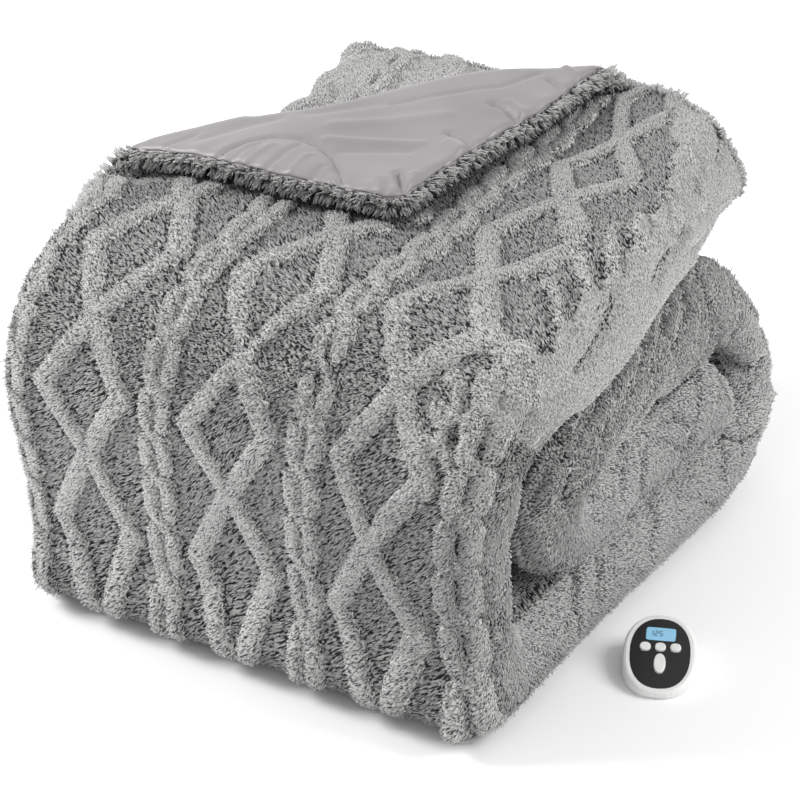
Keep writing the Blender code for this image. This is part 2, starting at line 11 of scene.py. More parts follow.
import bmesh
import bpy
import numpy as np
from mathutils import Matrix, Vector
from mathutils.bvhtree import BVHTree


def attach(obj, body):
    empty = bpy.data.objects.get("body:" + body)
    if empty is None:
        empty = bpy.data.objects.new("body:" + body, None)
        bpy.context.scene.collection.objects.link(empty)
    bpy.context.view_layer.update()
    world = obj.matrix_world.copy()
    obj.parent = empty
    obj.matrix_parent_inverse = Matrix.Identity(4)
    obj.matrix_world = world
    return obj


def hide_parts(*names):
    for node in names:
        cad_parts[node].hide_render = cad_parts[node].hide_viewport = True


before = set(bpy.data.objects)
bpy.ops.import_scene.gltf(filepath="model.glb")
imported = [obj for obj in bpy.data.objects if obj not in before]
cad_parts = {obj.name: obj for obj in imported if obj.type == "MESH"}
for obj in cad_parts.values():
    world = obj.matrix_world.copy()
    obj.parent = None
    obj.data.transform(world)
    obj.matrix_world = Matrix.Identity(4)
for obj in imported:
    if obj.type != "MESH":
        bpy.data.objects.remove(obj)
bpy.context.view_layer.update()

ROOT = "blanket_and_controller"

# The fold, with the same names and sizes as in the part
PLY = 0.027
PLY_PITCH = 0.033
PACK_WIDTH = 0.53
LAYER_PITCH = 0.1005
FRONT_Y = -0.300
BACK_Y = 0.335
HALF_STRIP = PLY_PITCH + PLY / 2
LAYER_Z = [HALF_STRIP + LAYER_PITCH * turn for turn in range(4)]
SPINE = (
    (BACK_Y, LAYER_Z[3], 0.0),
    (FRONT_Y + HALF_STRIP, LAYER_Z[3], 0.100),
    (FRONT_Y + HALF_STRIP, LAYER_Z[0], 0.060),
    (0.280, LAYER_Z[0], LAYER_PITCH),
    (0.280, LAYER_Z[2], LAYER_PITCH),
    (-0.150, LAYER_Z[2], LAYER_PITCH / 2),
    (-0.150, LAYER_Z[1], LAYER_PITCH / 2),
    (0.200, LAYER_Z[1], 0.0),
)
SPINE_STEP = 0.002
SPINE_EASE = 0.030
TURN_LEFT = (-0.318, 0.422)
TURN_RIGHT = (0.080, 0.020)
TURN_RADIUS = 0.0147
TURN_PULL = (-0.044, 0.055)
TURN_PULL_FROM = (0.100, 0.450)
TURN_PULL_OVER = 0.368
TURN_HANG = (0.540, 0.370)
TURN_SLIDE = 0.032
TURN_SLIDE_ALONG = (0.50, 0.05)
TURN_SLIDE_EASE = 0.060
COLUMN_PITCH = 0.160
DIAMOND_X = -0.020
DIAMOND_CROSS_Z = 0.203
DIAMOND_REACH = 0.043
BAR_HALF = 0.0138
NEAR_SHIFT = 0.013
NEAR_FROM = (0.145, 0.215)
RELIEF = 0.007
LOBE_PITCH = COLUMN_PITCH / 3
LOBE_LENGTH = 0.100
LOBE_HALF = 0.0093
LOBE_CROSS = (0.32, 0.66)
LOBE_SIDE = 0.0102
LOBE_SLOPE = 3.6
SIDE_SHARE = 0.7
FLOOR_FADE = (0.012, 0.045)
SHOW_EASE = (0.006, 0.012)
LOOP_COVERED = (1.56, 1.49)
BESIDE_CREASE = 0.020
UNDER_TURN = (0.004, -0.008)
UNPULL_ROUNDS = 4
TOE = 0.1065
TOE_REACH = 0.36
TOE_FALL = 1.5
PACK_HEIGHT = 0.4
PACK_SIDE = 0.27
BACK_FROM = (0.05, 0.33)
CROWN = (0.009, 0.014)
LIFT = 0.018
LEAN = (0.014, 0.048, 0.020)
SPREAD = 0.010
SKEW = (0.012, 0.075)
LUMP = 0.0028
LUMP_WAVES = (19, 17, 31, 23)
BULGE_WAVES = (21, 24, 18)
FULLER = (
    ((-0.28, -0.25, 0.33), 0.20, (-0.011, -0.020, -0.013)),
    ((-0.05, -0.27, 0.36), 0.20, (-0.009, -0.012, -0.018)),
    ((0.17, -0.25, 0.34), 0.20, (0.004, 0.008, -0.001)),
    ((-0.26, 0.02, 0.38), 0.20, (0.011, 0.011, 0.002)),
    ((-0.10, 0.25, 0.40), 0.22, (0.001, 0.003, 0.014)),
    ((0.20, 0.28, 0.40), 0.20, (-0.015, 0.006, 0.028)),
    ((0.24, 0.05, 0.36), 0.20, (0.004, 0.013, 0.024)),
    ((0.25, -0.12, 0.30), 0.18, (0.015, -0.003, -0.019)),
    ((-0.25, 0.33, 0.40), 0.16, (-0.023, -0.011, 0.0)),
)
CLOTH_CORNER = 0.018
FLAT_RIGHT = PACK_WIDTH / 2 - PLY_PITCH - PLY / 2
FLAT_LEFT = PACK_WIDTH / 2 - PLY_PITCH / 2 - PLY / 2
TUCK = 0.004
U_FIRST = FLAT_RIGHT - TUCK + FLAT_LEFT
U_SMALL_FOLD = U_FIRST + math.pi * PLY_PITCH / 2
U_BASE = U_SMALL_FOLD + FLAT_LEFT + FLAT_RIGHT
U_BIG_FOLD = U_BASE + math.pi * PLY_PITCH
CLOTH_WIDTH = U_BIG_FOLD + FLAT_RIGHT + PACK_WIDTH / 2 + TUCK

# The ground cloth, on which the pile stands
GROUND_HALF = 0.0095
GROUND_MID = -0.0029
GROUND_TRIANGLES = 128000
PLUSH_SLOTS = (0, 2, 3, 4)
GROUND_U_STEPS = ((0.0, 0.0045), (0.450, 0.0030), (0.512, 0.0120), (0.944, 0.0030))
GROUND_V_STEPS = ((0.0, 0.0030), (1.560, 0.0080))
EDGE_STEPS = (0.0, 0.06, 0.22, 0.5, 1.0)

# The pile
SEED = 11
# Each kind of pile: its spacing, and its tufts' length, radius, lean off upright and sunk depth
Tuft = namedtuple("Tuft", "length radius tilt sink")
PILE = (
    ("pile_ground", 0.00244, Tuft(0.0074, 0.00068, 1.16, 0.0012)),
    ("pile_raised", 0.00196, Tuft(0.0046, 0.00062, 0.95, 0.0010)),
    ("pile_rolled", 0.00212, Tuft(0.0042, 0.00066, 1.05, 0.0010)),
    ("pile_side", 0.00218, Tuft(0.0056, 0.00065, 1.08, 0.0011)),
)
RIM_TUFT = Tuft(0.0132, 0.00104, 0.0, 0.0020)
RIM_SPACING = 0.00190
RIM_PLAIN = 0.5  # length of the rim's pile away from the turned corner
RIM_CORNER = (0.50, 1.10)  # the turned corner's rim: up to this v, and from this u
RIM_TURNS = (-0.62, 1.65)  # round the cloth's edge, from its satin side to its plush side
LOCK = 0.0085  # width of a curly lock on the rim
# The way that the pile is stroked, in world directions, and how far its streaks are drawn out
FRONT_STREAKS = (-0.783, 0.0, -0.622)
TOP_STREAKS = (-0.790, 0.613, 0.0)
STREAK_SHARE = 0.74
TOP_FACES = (0.35, 0.75)  # how upright a face is, from front to top
# Painted shade on the pile: the share of its colour kept, by x, down the front and on the top,
# darker to the front's right and the top's left
PAINTED_SHADE_HALF = 0.35
PAINTED_SHADE_FRONT = ((-0.35, 1.0), (0.0, 0.99), (0.20, 0.64), (0.290, 0.70), (0.335, 1.0))
PAINTED_SHADE_TOP = ((-0.35, 0.62), (0.10, 0.66), (0.24, 0.87), (0.295, 0.95), (0.335, 1.0))
PAINTED_SHADE_HEIGHTS = (0.26, 0.35)
PAINTED_SHADE_BEHIND = (-0.30, -0.20)  # y over which the front gives way to the side
# Where the cloth is drawn smooth round the rolled side, in u and v, and the edge's wandering
SMOOTH_FROM = 0.006
SMOOTH_WANDER = 0.007
SMOOTH_UNTIL = 0.555
SMOOTH_WIDER = 0.034
BESIDE_U = 1.012  # below it the pattern is lower by this share, and its pile is not raised
BESIDE_SHARE = 0.20
BESIDE_EASE = 0.012
SMOOTH_AGAIN = 1.22
SIDE_FROM = (0.600, 0.930)
SMOOTH_BACK = (0.474, 0.215)  # and at the back, where the first ply shows
BACK_SHARE = 0.10
RIDGE = 0.0024  # a ridge this high has raised pile, and the pattern from this share of its own
RAISED_SHARE = 0.30
# Where tufts part and the cloth between them shows, its painted shade making dark lines and
# patches: heights of the pattern's foot, depth of a crease, and the shares of the tufts that are
# left out
PARTED_FOOT = (0.02, 0.40)
PARTED_DEPTH = -0.0056
PARTED_SHARE = 0.5
CREASE_SHARE = 0.88
CREASED_BELOW = 1.056
BETWEEN_HALF = 0.0072
# Where the front is knocked in at its shoulder
DENT = ((1.318, 0.556), (1.282, 0.552), (1.245, 0.560))
DENT_HALF = 0.011
DENT_SHARE = 0.42
FAR_WIDER = 1.70  # spacing and thickness of the tufts that face away from the photo's side
PILE_OVERHANG = 0.0012
PILE_MIXES = 0.0016
OPEN_STEP = 0.008  # grid and length of the rays that find where the plush is open
OPEN_REACH = 0.140
OPEN_START = 0.004
OPEN_FLOOR = 0.003
OPEN_ASIDE = 1.2
JITTER = 0.42
MOST_TUFTS = 49000  # in one mesh
TIP_WIDTH = 0.8
TIP_DROOP = (0.12, 0.06)
TUFT_LENGTHS = (0.72, 1.18)
TUFT_RADII = (0.8, 1.25)
TUFT_FLOOR = 0.0004
TUFT_FACES = ([0, 1, 2], [0, 3, 1], [0, 2, 3], [1, 3, 2])

# Hollows and ridges of the plush side: half its width and its height in tenths of a
# millimetre, then u, v of the points along it in millimetres
PLUSH_FURROWS = (
    (50, -71, 1026, 224, 1024, 267, 1022, 299, 1024, 323, 1020, 346),
    (48, -59, 994, 150, 998, 176, 1003, 222, 1005, 253),
    (50, -71, 1040, 395, 1036, 412, 1032, 432, 1029, 447, 1022, 474),
    (58, -65, 1062, 373, 1058, 381, 1056, 392, 1050, 402, 1046, 414),
    (62, -50, 1066, 323, 1057, 338, 1053, 349, 1048, 365),
    (60, -54, 1072, 411, 1060, 418, 1057, 435, 1053, 448, 1046, 458),
    (60, -52, 1083, 434, 1070, 450, 1058, 466, 1051, 485, 1046, 494),
    (53, -65, 1048, 232, 1043, 256, 1037, 264),
    (46, -53, 1022, 184, 1014, 154, 1010, 123),
    (58, -68, 1058, 269, 1051, 290, 1048, 310),
    (50, -62, 1038, 85, 1035, 91, 1037, 133, 1032, 144),
    (50, -62, 1037, 6, 1030, 18, 1022, 45),
    (180, -54, 1328, 560, 1282, 556, 1237, 566, 1206, 572),
    (72, 62, 1092, 548, 1079, 556, 1072, 572),
    (72, 54, 1096, 572, 1082, 578),
    (72, 59, 1094, 596, 1078, 592, 1068, 600),
    (72, 62, 1060, 545, 1054, 562, 1056, 580),
    (66, -54, 1070, 584, 1060, 588),
    (72, -50, 1046, 590, 1040, 606),
    (50, -59, 1018, 545, 1013, 570, 1010, 600),
    (72, -65, 1037, 1630, 1027, 1674, 1019, 1694),
    (70, -62, 1027, 1570, 1019, 1602, 1011, 1629),
    (72, -65, 1040, 1693, 1030, 1720, 1024, 1738),
    (70, -59, 1038, 1738, 1032, 1755, 1027, 1773),
    (62, -56, 1018, 1546, 1011, 1565),
    (66, -56, 1030, 1780, 1027, 1795, 1026, 1814),
    (52, -64, 966, 986, 986, 955, 1011, 946),
    (56, -60, 974, 1014, 998, 994),
    (56, -74, 966, 1436, 982, 1412, 1002, 1420),
    (54, -70, 972, 1300, 988, 1308, 1006, 1330),
    (60, -66, 990, 1500, 1010, 1492, 1030, 1504),
    (80, 40, 984, 1366, 1004, 1378, 1026, 1372),
    (62, -66, 1000, 1580, 1022, 1560, 1040, 1566),
    (58, -72, 1048, 1864, 1029, 1874, 1018, 1899),
    (56, -68, 1027, 1830, 1012, 1842, 1003, 1850),
    (56, -70, 986, 2110, 1006, 2098, 1024, 2104),
    (56, -70, 980, 2190, 998, 2200, 1016, 2190),
    (78, 52, 1088, 420, 1068, 441, 1056, 454),
    (72, 48, 1079, 378, 1066, 396, 1054, 410),
    (76, 50, 1071, 322, 1061, 350, 1052, 375),
    (70, 44, 1060, 290, 1051, 312, 1043, 336),
    (74, 44, 1053, 218, 1040, 250, 1028, 284),
    (68, 38, 1047, 82, 1036, 108, 1027, 133),
    (86, 60, 1072, 508, 1054, 524, 1038, 541),
    (72, 48, 1044, 512, 1030, 522, 1022, 532),
)
# Where the rolled side of the cloth is drawn smooth: (u, u) across and (v, v) along
DRAWN_SMOOTH = ((1.108, 1.086), (0.535, 0.450))
DRAWN_SHARE = 0.75
# Where the plait on the near edge stands out further: up and down again in u, and in v
BOLD_U = ((1.010, 1.024), (1.084, 1.070))
BOLD_V = ((0.520, 0.570), (0.900, 0.850))
BOLD_MORE = 0.75

# The satin, with rows as above.  The first is the quilted scallop
SATIN_FURROWS = (
    (36, -44, 1546, 225, 1532, 221, 1516, 213, 1501, 195, 1494, 166, 1497, 140, 1508, 114, 1526,
     90, 1546, 66),
    (110, 28, 1528, 202, 1516, 162, 1530, 110),
    (32, -24, 1544, 206, 1519, 196),
    (30, 20, 1545, 188, 1516, 180),
    (32, -25, 1545, 160, 1506, 158),
    (30, 20, 1545, 132, 1516, 134),
    (28, -21, 1544, 104, 1527, 107),
    (32, -64, 1536, 4, 1523, 18, 1511, 32),
    (44, 38, 1542, 24, 1528, 40),
    (48, 35, 1522, 4, 1510, 14),
    (32, -55, 1446, 4, 1438, 22, 1435, 42),
    (46, 30, 1458, 6, 1450, 28),
    (32, -52, 1388, 4, 1380, 24, 1378, 44),
    (44, 27, 1376, 8, 1369, 32),
    (32, -38, 1318, 6, 1311, 28),
    (36, 28, 1284, 6, 1276, 30),
    (34, -24, 1408, 133, 1382, 94, 1347, 56, 1304, 46),
    (60, 30, 1486, 140, 1474, 96, 1462, 52),
    (60, -22, 1496, 112, 1484, 82, 1474, 50),
    (85, 26, 1460, 156, 1440, 110, 1414, 68),
    (75, -20, 1446, 200, 1420, 160, 1398, 120),
    (90, 28, 1530, 330, 1505, 300, 1480, 262),
    (80, -26, 1520, 268, 1498, 250, 1470, 225),
    (45, -30, 1540, 355, 1512, 345),
    (42, -25, 1541, 300, 1520, 288),
    (50, 27, 1535, 385, 1505, 380),
)
SATIN_REACH = (1.10, 0.50)  # no satin shows at lower u or higher v
EDGE_RIPPLE = 0.0011
EDGE_RIPPLE_DEEP = 0.020
EDGE_RIPPLE_PITCH = 0.037
STITCH_PITCH = 0.0044
STITCH_LENGTH = 0.0026
STITCH_RADIUS = 0.00060
SATIN_THICK = 0.0012
SATIN_GAP = 0.0005
SATIN_INSET = 0.0014
SATIN_SIDE = 0.440
SATIN_END_X = 0.120
SATIN_ROWS = 158

# The controller's display, and the figures on it
CONTROL_AT = (0.3269, -0.0848)
CONTROL_TURN = math.radians(25.0)
CONTROL_TILT = math.radians(17.0)
BODY_FRONT = 0.0080
BODY_SIDE = 0.0985
DISPLAY_Y = 0.0235
DISPLAY_TURN = math.radians(-2.0)
PANE_TOP = 0.0003
FIGURES = (("1", (-0.0092, 0.0006)), ("2", (-0.0046, 0.0006)), ("5", (0.0000, 0.0006)))
FIGURE_TALL = 0.0056
FIGURE_HALF_WIDE = 0.0014
BAR_WIDE = 0.0008
FIGURE_DEEP = 0.00012
FIGURE_GAP = 0.86  # share of a bar's room that it fills
BAR_OUTLINE = (
    (-1, -0.6), (-0.6, -1), (0.6, -1), (1, -0.6), (1, 0.6), (0.6, 1), (-0.6, 1), (-1, 0.6))
BARS = {"a": (0, 1, False), "b": (1, 0.5, True), "c": (1, -0.5, True), "d": (0, -1, False),
        "e": (-1, -0.5, True), "f": (-1, 0.5, True), "g": (0, 0, False)}
LIT = {"1": "bc", "2": "abged", "5": "afgcd"}

# The looks of the cloth between the tufts: dark, light, streaks' scale, where dark and light begin.
# Its dark grey is painted shade down between the tufts, and the kinds' greys are painted light and
# shade on one cloth: lighter on the raised pattern and rolled side, darkest on the plain ground
GROUND_LOOKS = (
    ("plush root", (0.016, 0.016, 0.016), (0.38, 0.377, 0.370), 480.0, (0.43, 0.62)),
    ("raised root", (0.05, 0.05, 0.05), (0.56, 0.557, 0.547), 540.0, (0.36, 0.60)),
    ("rolled root", (0.16, 0.16, 0.158), (0.46, 0.457, 0.449), 560.0, (0.34, 0.62)),
    ("side root", (0.05, 0.05, 0.05), (0.44, 0.437, 0.430), 500.0, (0.40, 0.62)),
)
# And of the tufts: dark, light, lightness of a root against its tip (painted shade towards the
# root), and whether it takes the painted shade by place.  The kinds' greys are painted light and
# shade on one grey plush: lighter on the raised pattern, darker on the ground and rim
PILE_LOOKS = (
    ("plush ground pile", (0.45, 0.447, 0.440), (0.63, 0.626, 0.616), 0.16, True),
    ("plush raised pile", (0.64, 0.636, 0.626), (0.84, 0.835, 0.822), 0.24, True),
    ("plush rolled pile", (0.51, 0.507, 0.499), (0.66, 0.656, 0.645), 0.48, False),
    ("plush side pile", (0.50, 0.497, 0.490), (0.67, 0.666, 0.655), 0.30, False),
    ("plush rim pile", (0.40, 0.397, 0.390), (0.62, 0.616, 0.606), 0.42, False),
)
PLUSH_ROUGHNESS = 0.95
PLUSH_SPECULAR = 0.15
PLUSH_FIBRES = 420.0
PLUSH_PATCHES = 16.0
PATCH_GREYS = ((0.90, 0.90, 0.905), (1.0, 1.0, 1.0))
# Painted shade down each tuft: where along it the ramp from its root's share to its tip's full
# lightness starts and ends
ROOT_SHADE_STOPS = (0.10, 0.75)
NOISE_STOPS = (0.32, 0.68)
SATIN_GREYS = ((0.228, 0.215, 0.224), (0.276, 0.260, 0.270))
# Plastics: name, colour, roughness, strength of the grain, and coat
SHELL_LOOKS = ("white shell", (0.82, 0.82, 0.81), 0.34, 0.10)
FACE_LOOKS = ("black face", (0.008, 0.008, 0.009), 0.20, 0.04, 0.15)
DISPLAY_LOOKS = ("display", (0.30, 0.62, 0.86), 0.12, 0.02, 0.4)
KEY_LOOKS = ("white keys", (0.80, 0.80, 0.79), 0.38, 0.08)
THREAD_LOOKS = ("thread", (0.13, 0.125, 0.13), 0.7, 0.05)
FIGURE_LOOKS = ("dark figures", (0.03, 0.06, 0.10), 0.4, 0.02)
CONTROLLER_NODES = (
    (SHELL_LOOKS, ("controller_body",)),
    (FACE_LOOKS, ("controller_face",)),
    (DISPLAY_LOOKS, ("controller_display",)),
    (KEY_LOOKS, ("button_left", "button_middle", "button_right", "key_long")),
)

# The camera, at the photo's viewing angle
CAMERA_AZIMUTH = math.radians(31.0)
CAMERA_ELEVATION = math.radians(30.4)
CAMERA_DISTANCE = 3.1
CAMERA_LOOKS_AT = Vector((0.003, -0.031, 0.180))
CAMERA_LENS = 140.27
FLOOR_HALF = 9
FLOOR_GREY = 0.98
WORLD_STRENGTH = 0.65
LIGHTS = (("key", (-2.3, -1.2, 2.15), 1.2, 88), ("fill", (2.9, 1.0, 2.5), 2.0, 94))
LIGHTS_AIM = (0, 0, 0.15)
VIEWED_FROM = (
    math.sin(CAMERA_AZIMUTH) * math.cos(CAMERA_ELEVATION),
    -math.cos(CAMERA_AZIMUTH) * math.cos(CAMERA_ELEVATION),
    math.sin(CAMERA_ELEVATION))


def soft_step(low, high, value):
    t = np.clip((value - low) / (high - low), 0, 1)
    return t * t * (3 - 2 * t)


def bend_points(before, corner, after, radius):
    """The round of one corner of the spine, from the straight before it to the one after."""
    come = (corner - before) / np.linalg.norm(corner - before)
    leave = (after - corner) / np.linalg.norm(after - corner)
    turn = math.acos(float(np.clip(come @ leave, -1, 1)))
    radius = radius * 0.9995
    start = corner - come * radius * math.tan(turn / 2)
    side = leave - come * (come @ leave)
    side = side / np.linalg.norm(side)
    angles = np.linspace(0, turn, max(4, int(radius * turn / SPINE_STEP)) + 1)[:, None]
    return start + side * radius * (1 - np.cos(angles)) + come * radius * np.sin(angles)


def eased(values):
    reach = int(SPINE_EASE / SPINE_STEP)
    weights = np.hanning(2 * reach + 3)[1:-1]
    before = values[0] + (values[1] - values[0]) * np.arange(-reach, 0)
    after = values[-1] + (values[-1] - values[-2]) * np.arange(1, reach + 1)
    return np.convolve(np.r_[before, values, after], weights / weights.sum(), "valid")


def make_spine():
    """Length, y, z and heading along the middle of the strip, from its upper free end."""
    corners = [np.array(row[:2]) for row in SPINE]
    line = [corners[0][None]]
    for i in range(1, len(SPINE) - 1):
        line.append(bend_points(corners[i - 1], corners[i], corners[i + 1], SPINE[i][2]))
    line = np.concatenate(line + [corners[-1][None]])
    line = line[np.r_[True, np.linalg.norm(np.diff(line, axis=0), axis=1) > 1e-7]]
    run = np.r_[0, np.cumsum(np.linalg.norm(np.diff(line, axis=0), axis=1))]
    at = np.arange(0, run[-1], SPINE_STEP)
    y = eased(np.interp(at, run, line[:, 0]))
    z = eased(np.interp(at, run, line[:, 1]))
    length = np.r_[0, np.cumsum(np.hypot(np.diff(y), np.diff(z)))]
    heading = np.unwrap(np.arctan2(np.gradient(z, length), np.gradient(y, length)))
    return length, y, z, heading


SPINE_LENGTH, SPINE_Y, SPINE_Z, SPINE_HEADING = make_spine()
CLOTH_LENGTH = float(SPINE_LENGTH[-1])


def across(u, w):
    """Folds the width in three: x, and height n off the strip's middle.  w is towards the plush."""
    a_small = np.clip((u - U_FIRST) / (PLY_PITCH / 2), 0, math.pi)
    a_big = np.clip((u - U_BASE) / PLY_PITCH, 0, math.pi)
    first, base, upper = u <= U_FIRST, u <= U_BASE, u > U_BIG_FOLD
    small, big = u <= U_SMALL_FOLD, u <= U_BIG_FOLD
    choose = [first, small, base, big, upper]
    flat = np.zeros_like(u)
    x = np.select(choose, [
        FLAT_RIGHT - TUCK - u,
        -FLAT_LEFT - (PLY_PITCH / 2 + w) * np.sin(a_small),
        u - U_SMALL_FOLD - FLAT_LEFT,
        FLAT_RIGHT + (PLY_PITCH + w) * np.sin(a_big),
        FLAT_RIGHT - (u - U_BIG_FOLD)])
    n = np.select(choose, [
        flat + w,
        -PLY_PITCH / 2 + (PLY_PITCH / 2 + w) * np.cos(a_small),
        -PLY_PITCH - w,
        -(PLY_PITCH + w) * np.cos(a_big),
        PLY_PITCH + w])
    return x, n


def turn_distance(x, s):
    """How far (x, s) lies beyond the crease of the turned corner, and how far along it."""
    dx, ds = TURN_RIGHT[0] - TURN_LEFT[0], TURN_RIGHT[1] - TURN_LEFT[1]
    size = math.hypot(dx, ds)
    dx, ds = dx / size, ds / size
    rx, rs = x - TURN_LEFT[0], s - TURN_LEFT[1]
    return ds * rx - dx * rs, dx * rx + ds * rs, (dx, ds)


def pulled(x, s):
    """Where the draw askew takes a point of the upper flap."""
    share = np.clip((TURN_PULL_FROM[0] - x) / TURN_PULL_OVER, 0, 1)
    ahead = np.clip((TURN_PULL_FROM[1] - s) / TURN_PULL_FROM[1], 0, 1)
    hang = soft_step(*TURN_HANG, s)
    return x + TURN_PULL[0] * share ** 2 * hang, s + TURN_PULL[1] * ahead * share


def slid(along, beyond):
    """How far the turned corner has slid down the front, most at its left end."""
    return TURN_SLIDE * soft_step(*TURN_SLIDE_ALONG, along) * soft_step(-TURN_SLIDE_EASE, 0, beyond)


def under_turn(x, s):
    """How deep a point of the upper flap lies inside the outline of the corner turned over it."""
    x, s = pulled(x, s)
    beyond, along, (dx, ds) = turn_distance(x, s)
    s = s + slid(along, beyond) - slid(along, 0)
    across_crease = math.pi * TURN_RADIUS - 2 * turn_distance(x, s)[0]
    over_x, over_s = x + across_crease * ds, s - across_crease * dx
    flat_x, flat_s = over_x, over_s
    for _ in range(UNPULL_ROUNDS):
        again_x, again_s = pulled(flat_x, flat_s)
        flat_x, flat_s = flat_x + over_x - again_x, flat_s + over_s - again_s
    return np.where(beyond < 0, np.minimum(flat_x + PACK_WIDTH / 2, flat_s), -1.0)


def turned(x, s, n):
    """Turns the upper flap's corner back over the flap, satin up."""
    x, s = pulled(x, s)
    beyond, along, (dx, ds) = turn_distance(x, s)
    height = n - PLY_PITCH
    angle = np.clip(beyond / TURN_RADIUS, 0, math.pi)
    arm = TURN_RADIUS - height
    past = np.maximum(beyond - math.pi * TURN_RADIUS, 0)
    out = np.where(beyond <= 0, beyond, arm * np.sin(angle) - past)
    height = np.where(beyond <= 0, height, TURN_RADIUS - arm * np.cos(angle))
    x = TURN_LEFT[0] + along * dx + out * ds
    s = TURN_LEFT[1] + along * ds - out * dx + slid(along, beyond)
    return x, s, PLY_PITCH + height


def pushed_out(x, y, z):
    """Moves points towards where the pack is fuller, each push fading out over its reach."""
    moved = [x, y, z]
    for (at_x, at_y, at_z), reach, push in FULLER:
        away = np.sqrt((x - at_x) ** 2 + (y - at_y) ** 2 + (z - at_z) ** 2)
        share = soft_step(reach, 0, away)
        moved = [value + share * along for value, along in zip(moved, push)]
    return moved


def settled(x, y, z):
    """The pack under its own weight: a squared lower front, a crown and an uneven lean."""
    toe_y = FRONT_Y + TOE
    a = np.clip((toe_y - y) / TOE, 0, 1)
    b = np.clip((TOE - z) / TOE, 0, 1)
    r = np.hypot(a, b)
    push = TOE_REACH * 4 * a * a * b * b / np.maximum(r, 1e-6) ** 4 * np.clip(r, 0, 1) ** TOE_FALL
    y = y - a * TOE * push
    z = np.maximum(z - b * TOE * push, 0)
    up = np.clip(z / PACK_HEIGHT, 0, 1.2)
    free = soft_step(0.0, 0.10, z)
    right = np.clip(x / PACK_SIDE, 0, 1.1)
    left = np.clip(-x / PACK_SIDE, 0, 1.1)
    back = soft_step(*BACK_FROM, y)
    crown = CROWN[0] * left ** 3 * soft_step(0.20, -0.05, y) + CROWN[1] * right ** 4
    wave = np.sin(LUMP_WAVES[0] * x + 1.1) * np.sin(LUMP_WAVES[1] * y - 0.4)
    wave = wave + 0.6 * np.sin(LUMP_WAVES[2] * x - LUMP_WAVES[3] * y)
    z = z + free * (up ** 2 * (LIFT * back * left - crown) + LUMP * wave)
    lean = LEAN[0] * (1 - up) * soft_step(-0.1, 0.3, y)
    lean = lean - LEAN[1] * up ** 2 * soft_step(0.0, 0.33, y)
    lean = lean - LEAN[2] * soft_step(-0.05, -0.25, y) * soft_step(0.0, 0.25, z)
    bulge = LUMP * np.sin(BULGE_WAVES[0] * y + BULGE_WAVES[1] * z)
    x = x + lean * right ** 1.5 + SPREAD * (1 - up) * left ** 2 + bulge * free
    skew = SKEW[0] * left * back - SKEW[1] * right ** 1.5 * soft_step(0.02, 0.33, y)
    pushed = LUMP * np.sin(BULGE_WAVES[2] * x + 1.7) * soft_step(0.02, 0.12, z)
    y = y + up ** 2 * skew + free * pushed
    return pushed_out(x, y, z)


def place(u, v, w):
    """World points of the cloth at u, v and height w off its middle, towards the plush."""
    x, n = across(u, w)
    flap = u > U_BIG_FOLD
    turned_x, turned_s, turned_n = turned(x, v, n)
    x = np.where(flap, turned_x, x)
    s = np.where(flap, turned_s, v)
    n = np.where(flap, turned_n, n)
    y = np.interp(s, SPINE_LENGTH, SPINE_Y) + np.maximum(-s, 0)
    z = np.interp(s, SPINE_LENGTH, SPINE_Z)
    heading = np.interp(s, SPINE_LENGTH, SPINE_HEADING)
    return np.stack(settled(x, y + n * np.sin(heading), z - n * np.cos(heading)), axis=-1)


def mound(distance, half):
    """A bar's rounded section."""
    return (1 - np.clip(np.abs(distance) / half, 0, 1) ** 3) ** 1.2


def front_cross():
    """Where along the cloth the diamonds cross on the front face."""
    front = (SPINE_Y < FRONT_Y + 2 * HALF_STRIP) & (SPINE_LENGTH < CLOTH_LENGTH / 2)
    return float(SPINE_LENGTH[np.argmin(np.abs(SPINE_Z - DIAMOND_CROSS_Z) + 9 * ~front)])


V_CROSS = front_cross()
CROSS_HEADING = float(np.interp(V_CROSS, SPINE_LENGTH, SPINE_HEADING))


def true_length(u, v):
    """Length along the outer face, which is longer than v where it goes round the shoulder."""
    _, n = across(u, np.full_like(u, PLY / 2))
    heading = np.interp(v, SPINE_LENGTH, SPINE_HEADING)
    return v + n * np.minimum(heading - CROSS_HEADING, 0)


def pattern(u, v):
    """Height of the raised bars, 0 to 1: diamonds, and two-strand plaits between them."""
    x = FLAT_RIGHT - (u - U_BIG_FOLD)
    x = x - NEAR_SHIFT * soft_step(*NEAR_FROM, x)
    v = true_length(u, v)
    from_diamond = (x - DIAMOND_X) / COLUMN_PITCH
    from_diamond = (from_diamond - np.round(from_diamond)) * COLUMN_PITCH
    cycle = (v - V_CROSS) / COLUMN_PITCH
    spread = DIAMOND_REACH * (1 - np.abs(2 * (cycle - np.floor(cycle)) - 1))
    half = BAR_HALF + PILE_OVERHANG
    height = np.maximum(mound(from_diamond - spread, half), mound(from_diamond + spread, half))
    from_plait = (x - DIAMOND_X) / COLUMN_PITCH - 0.5
    from_plait = (from_plait - np.round(from_plait)) * COLUMN_PITCH
    for earlier in (0, 1):
        along = np.mod(v, LOBE_PITCH) + earlier * LOBE_PITCH
        crossed = soft_step(*LOBE_CROSS, along / LOBE_LENGTH)
        slope = LOBE_SLOPE * crossed * (1 - crossed)
        end = np.maximum(LOBE_HALF - along, along - LOBE_LENGTH + LOBE_HALF)
        off = (from_plait - LOBE_SIDE * (2 * crossed - 1)) / np.sqrt(1 + slope ** 2)
        off = np.hypot(off, np.maximum(end, 0))
        height = np.maximum(height, mound(off, LOBE_HALF + PILE_OVERHANG))
    return height


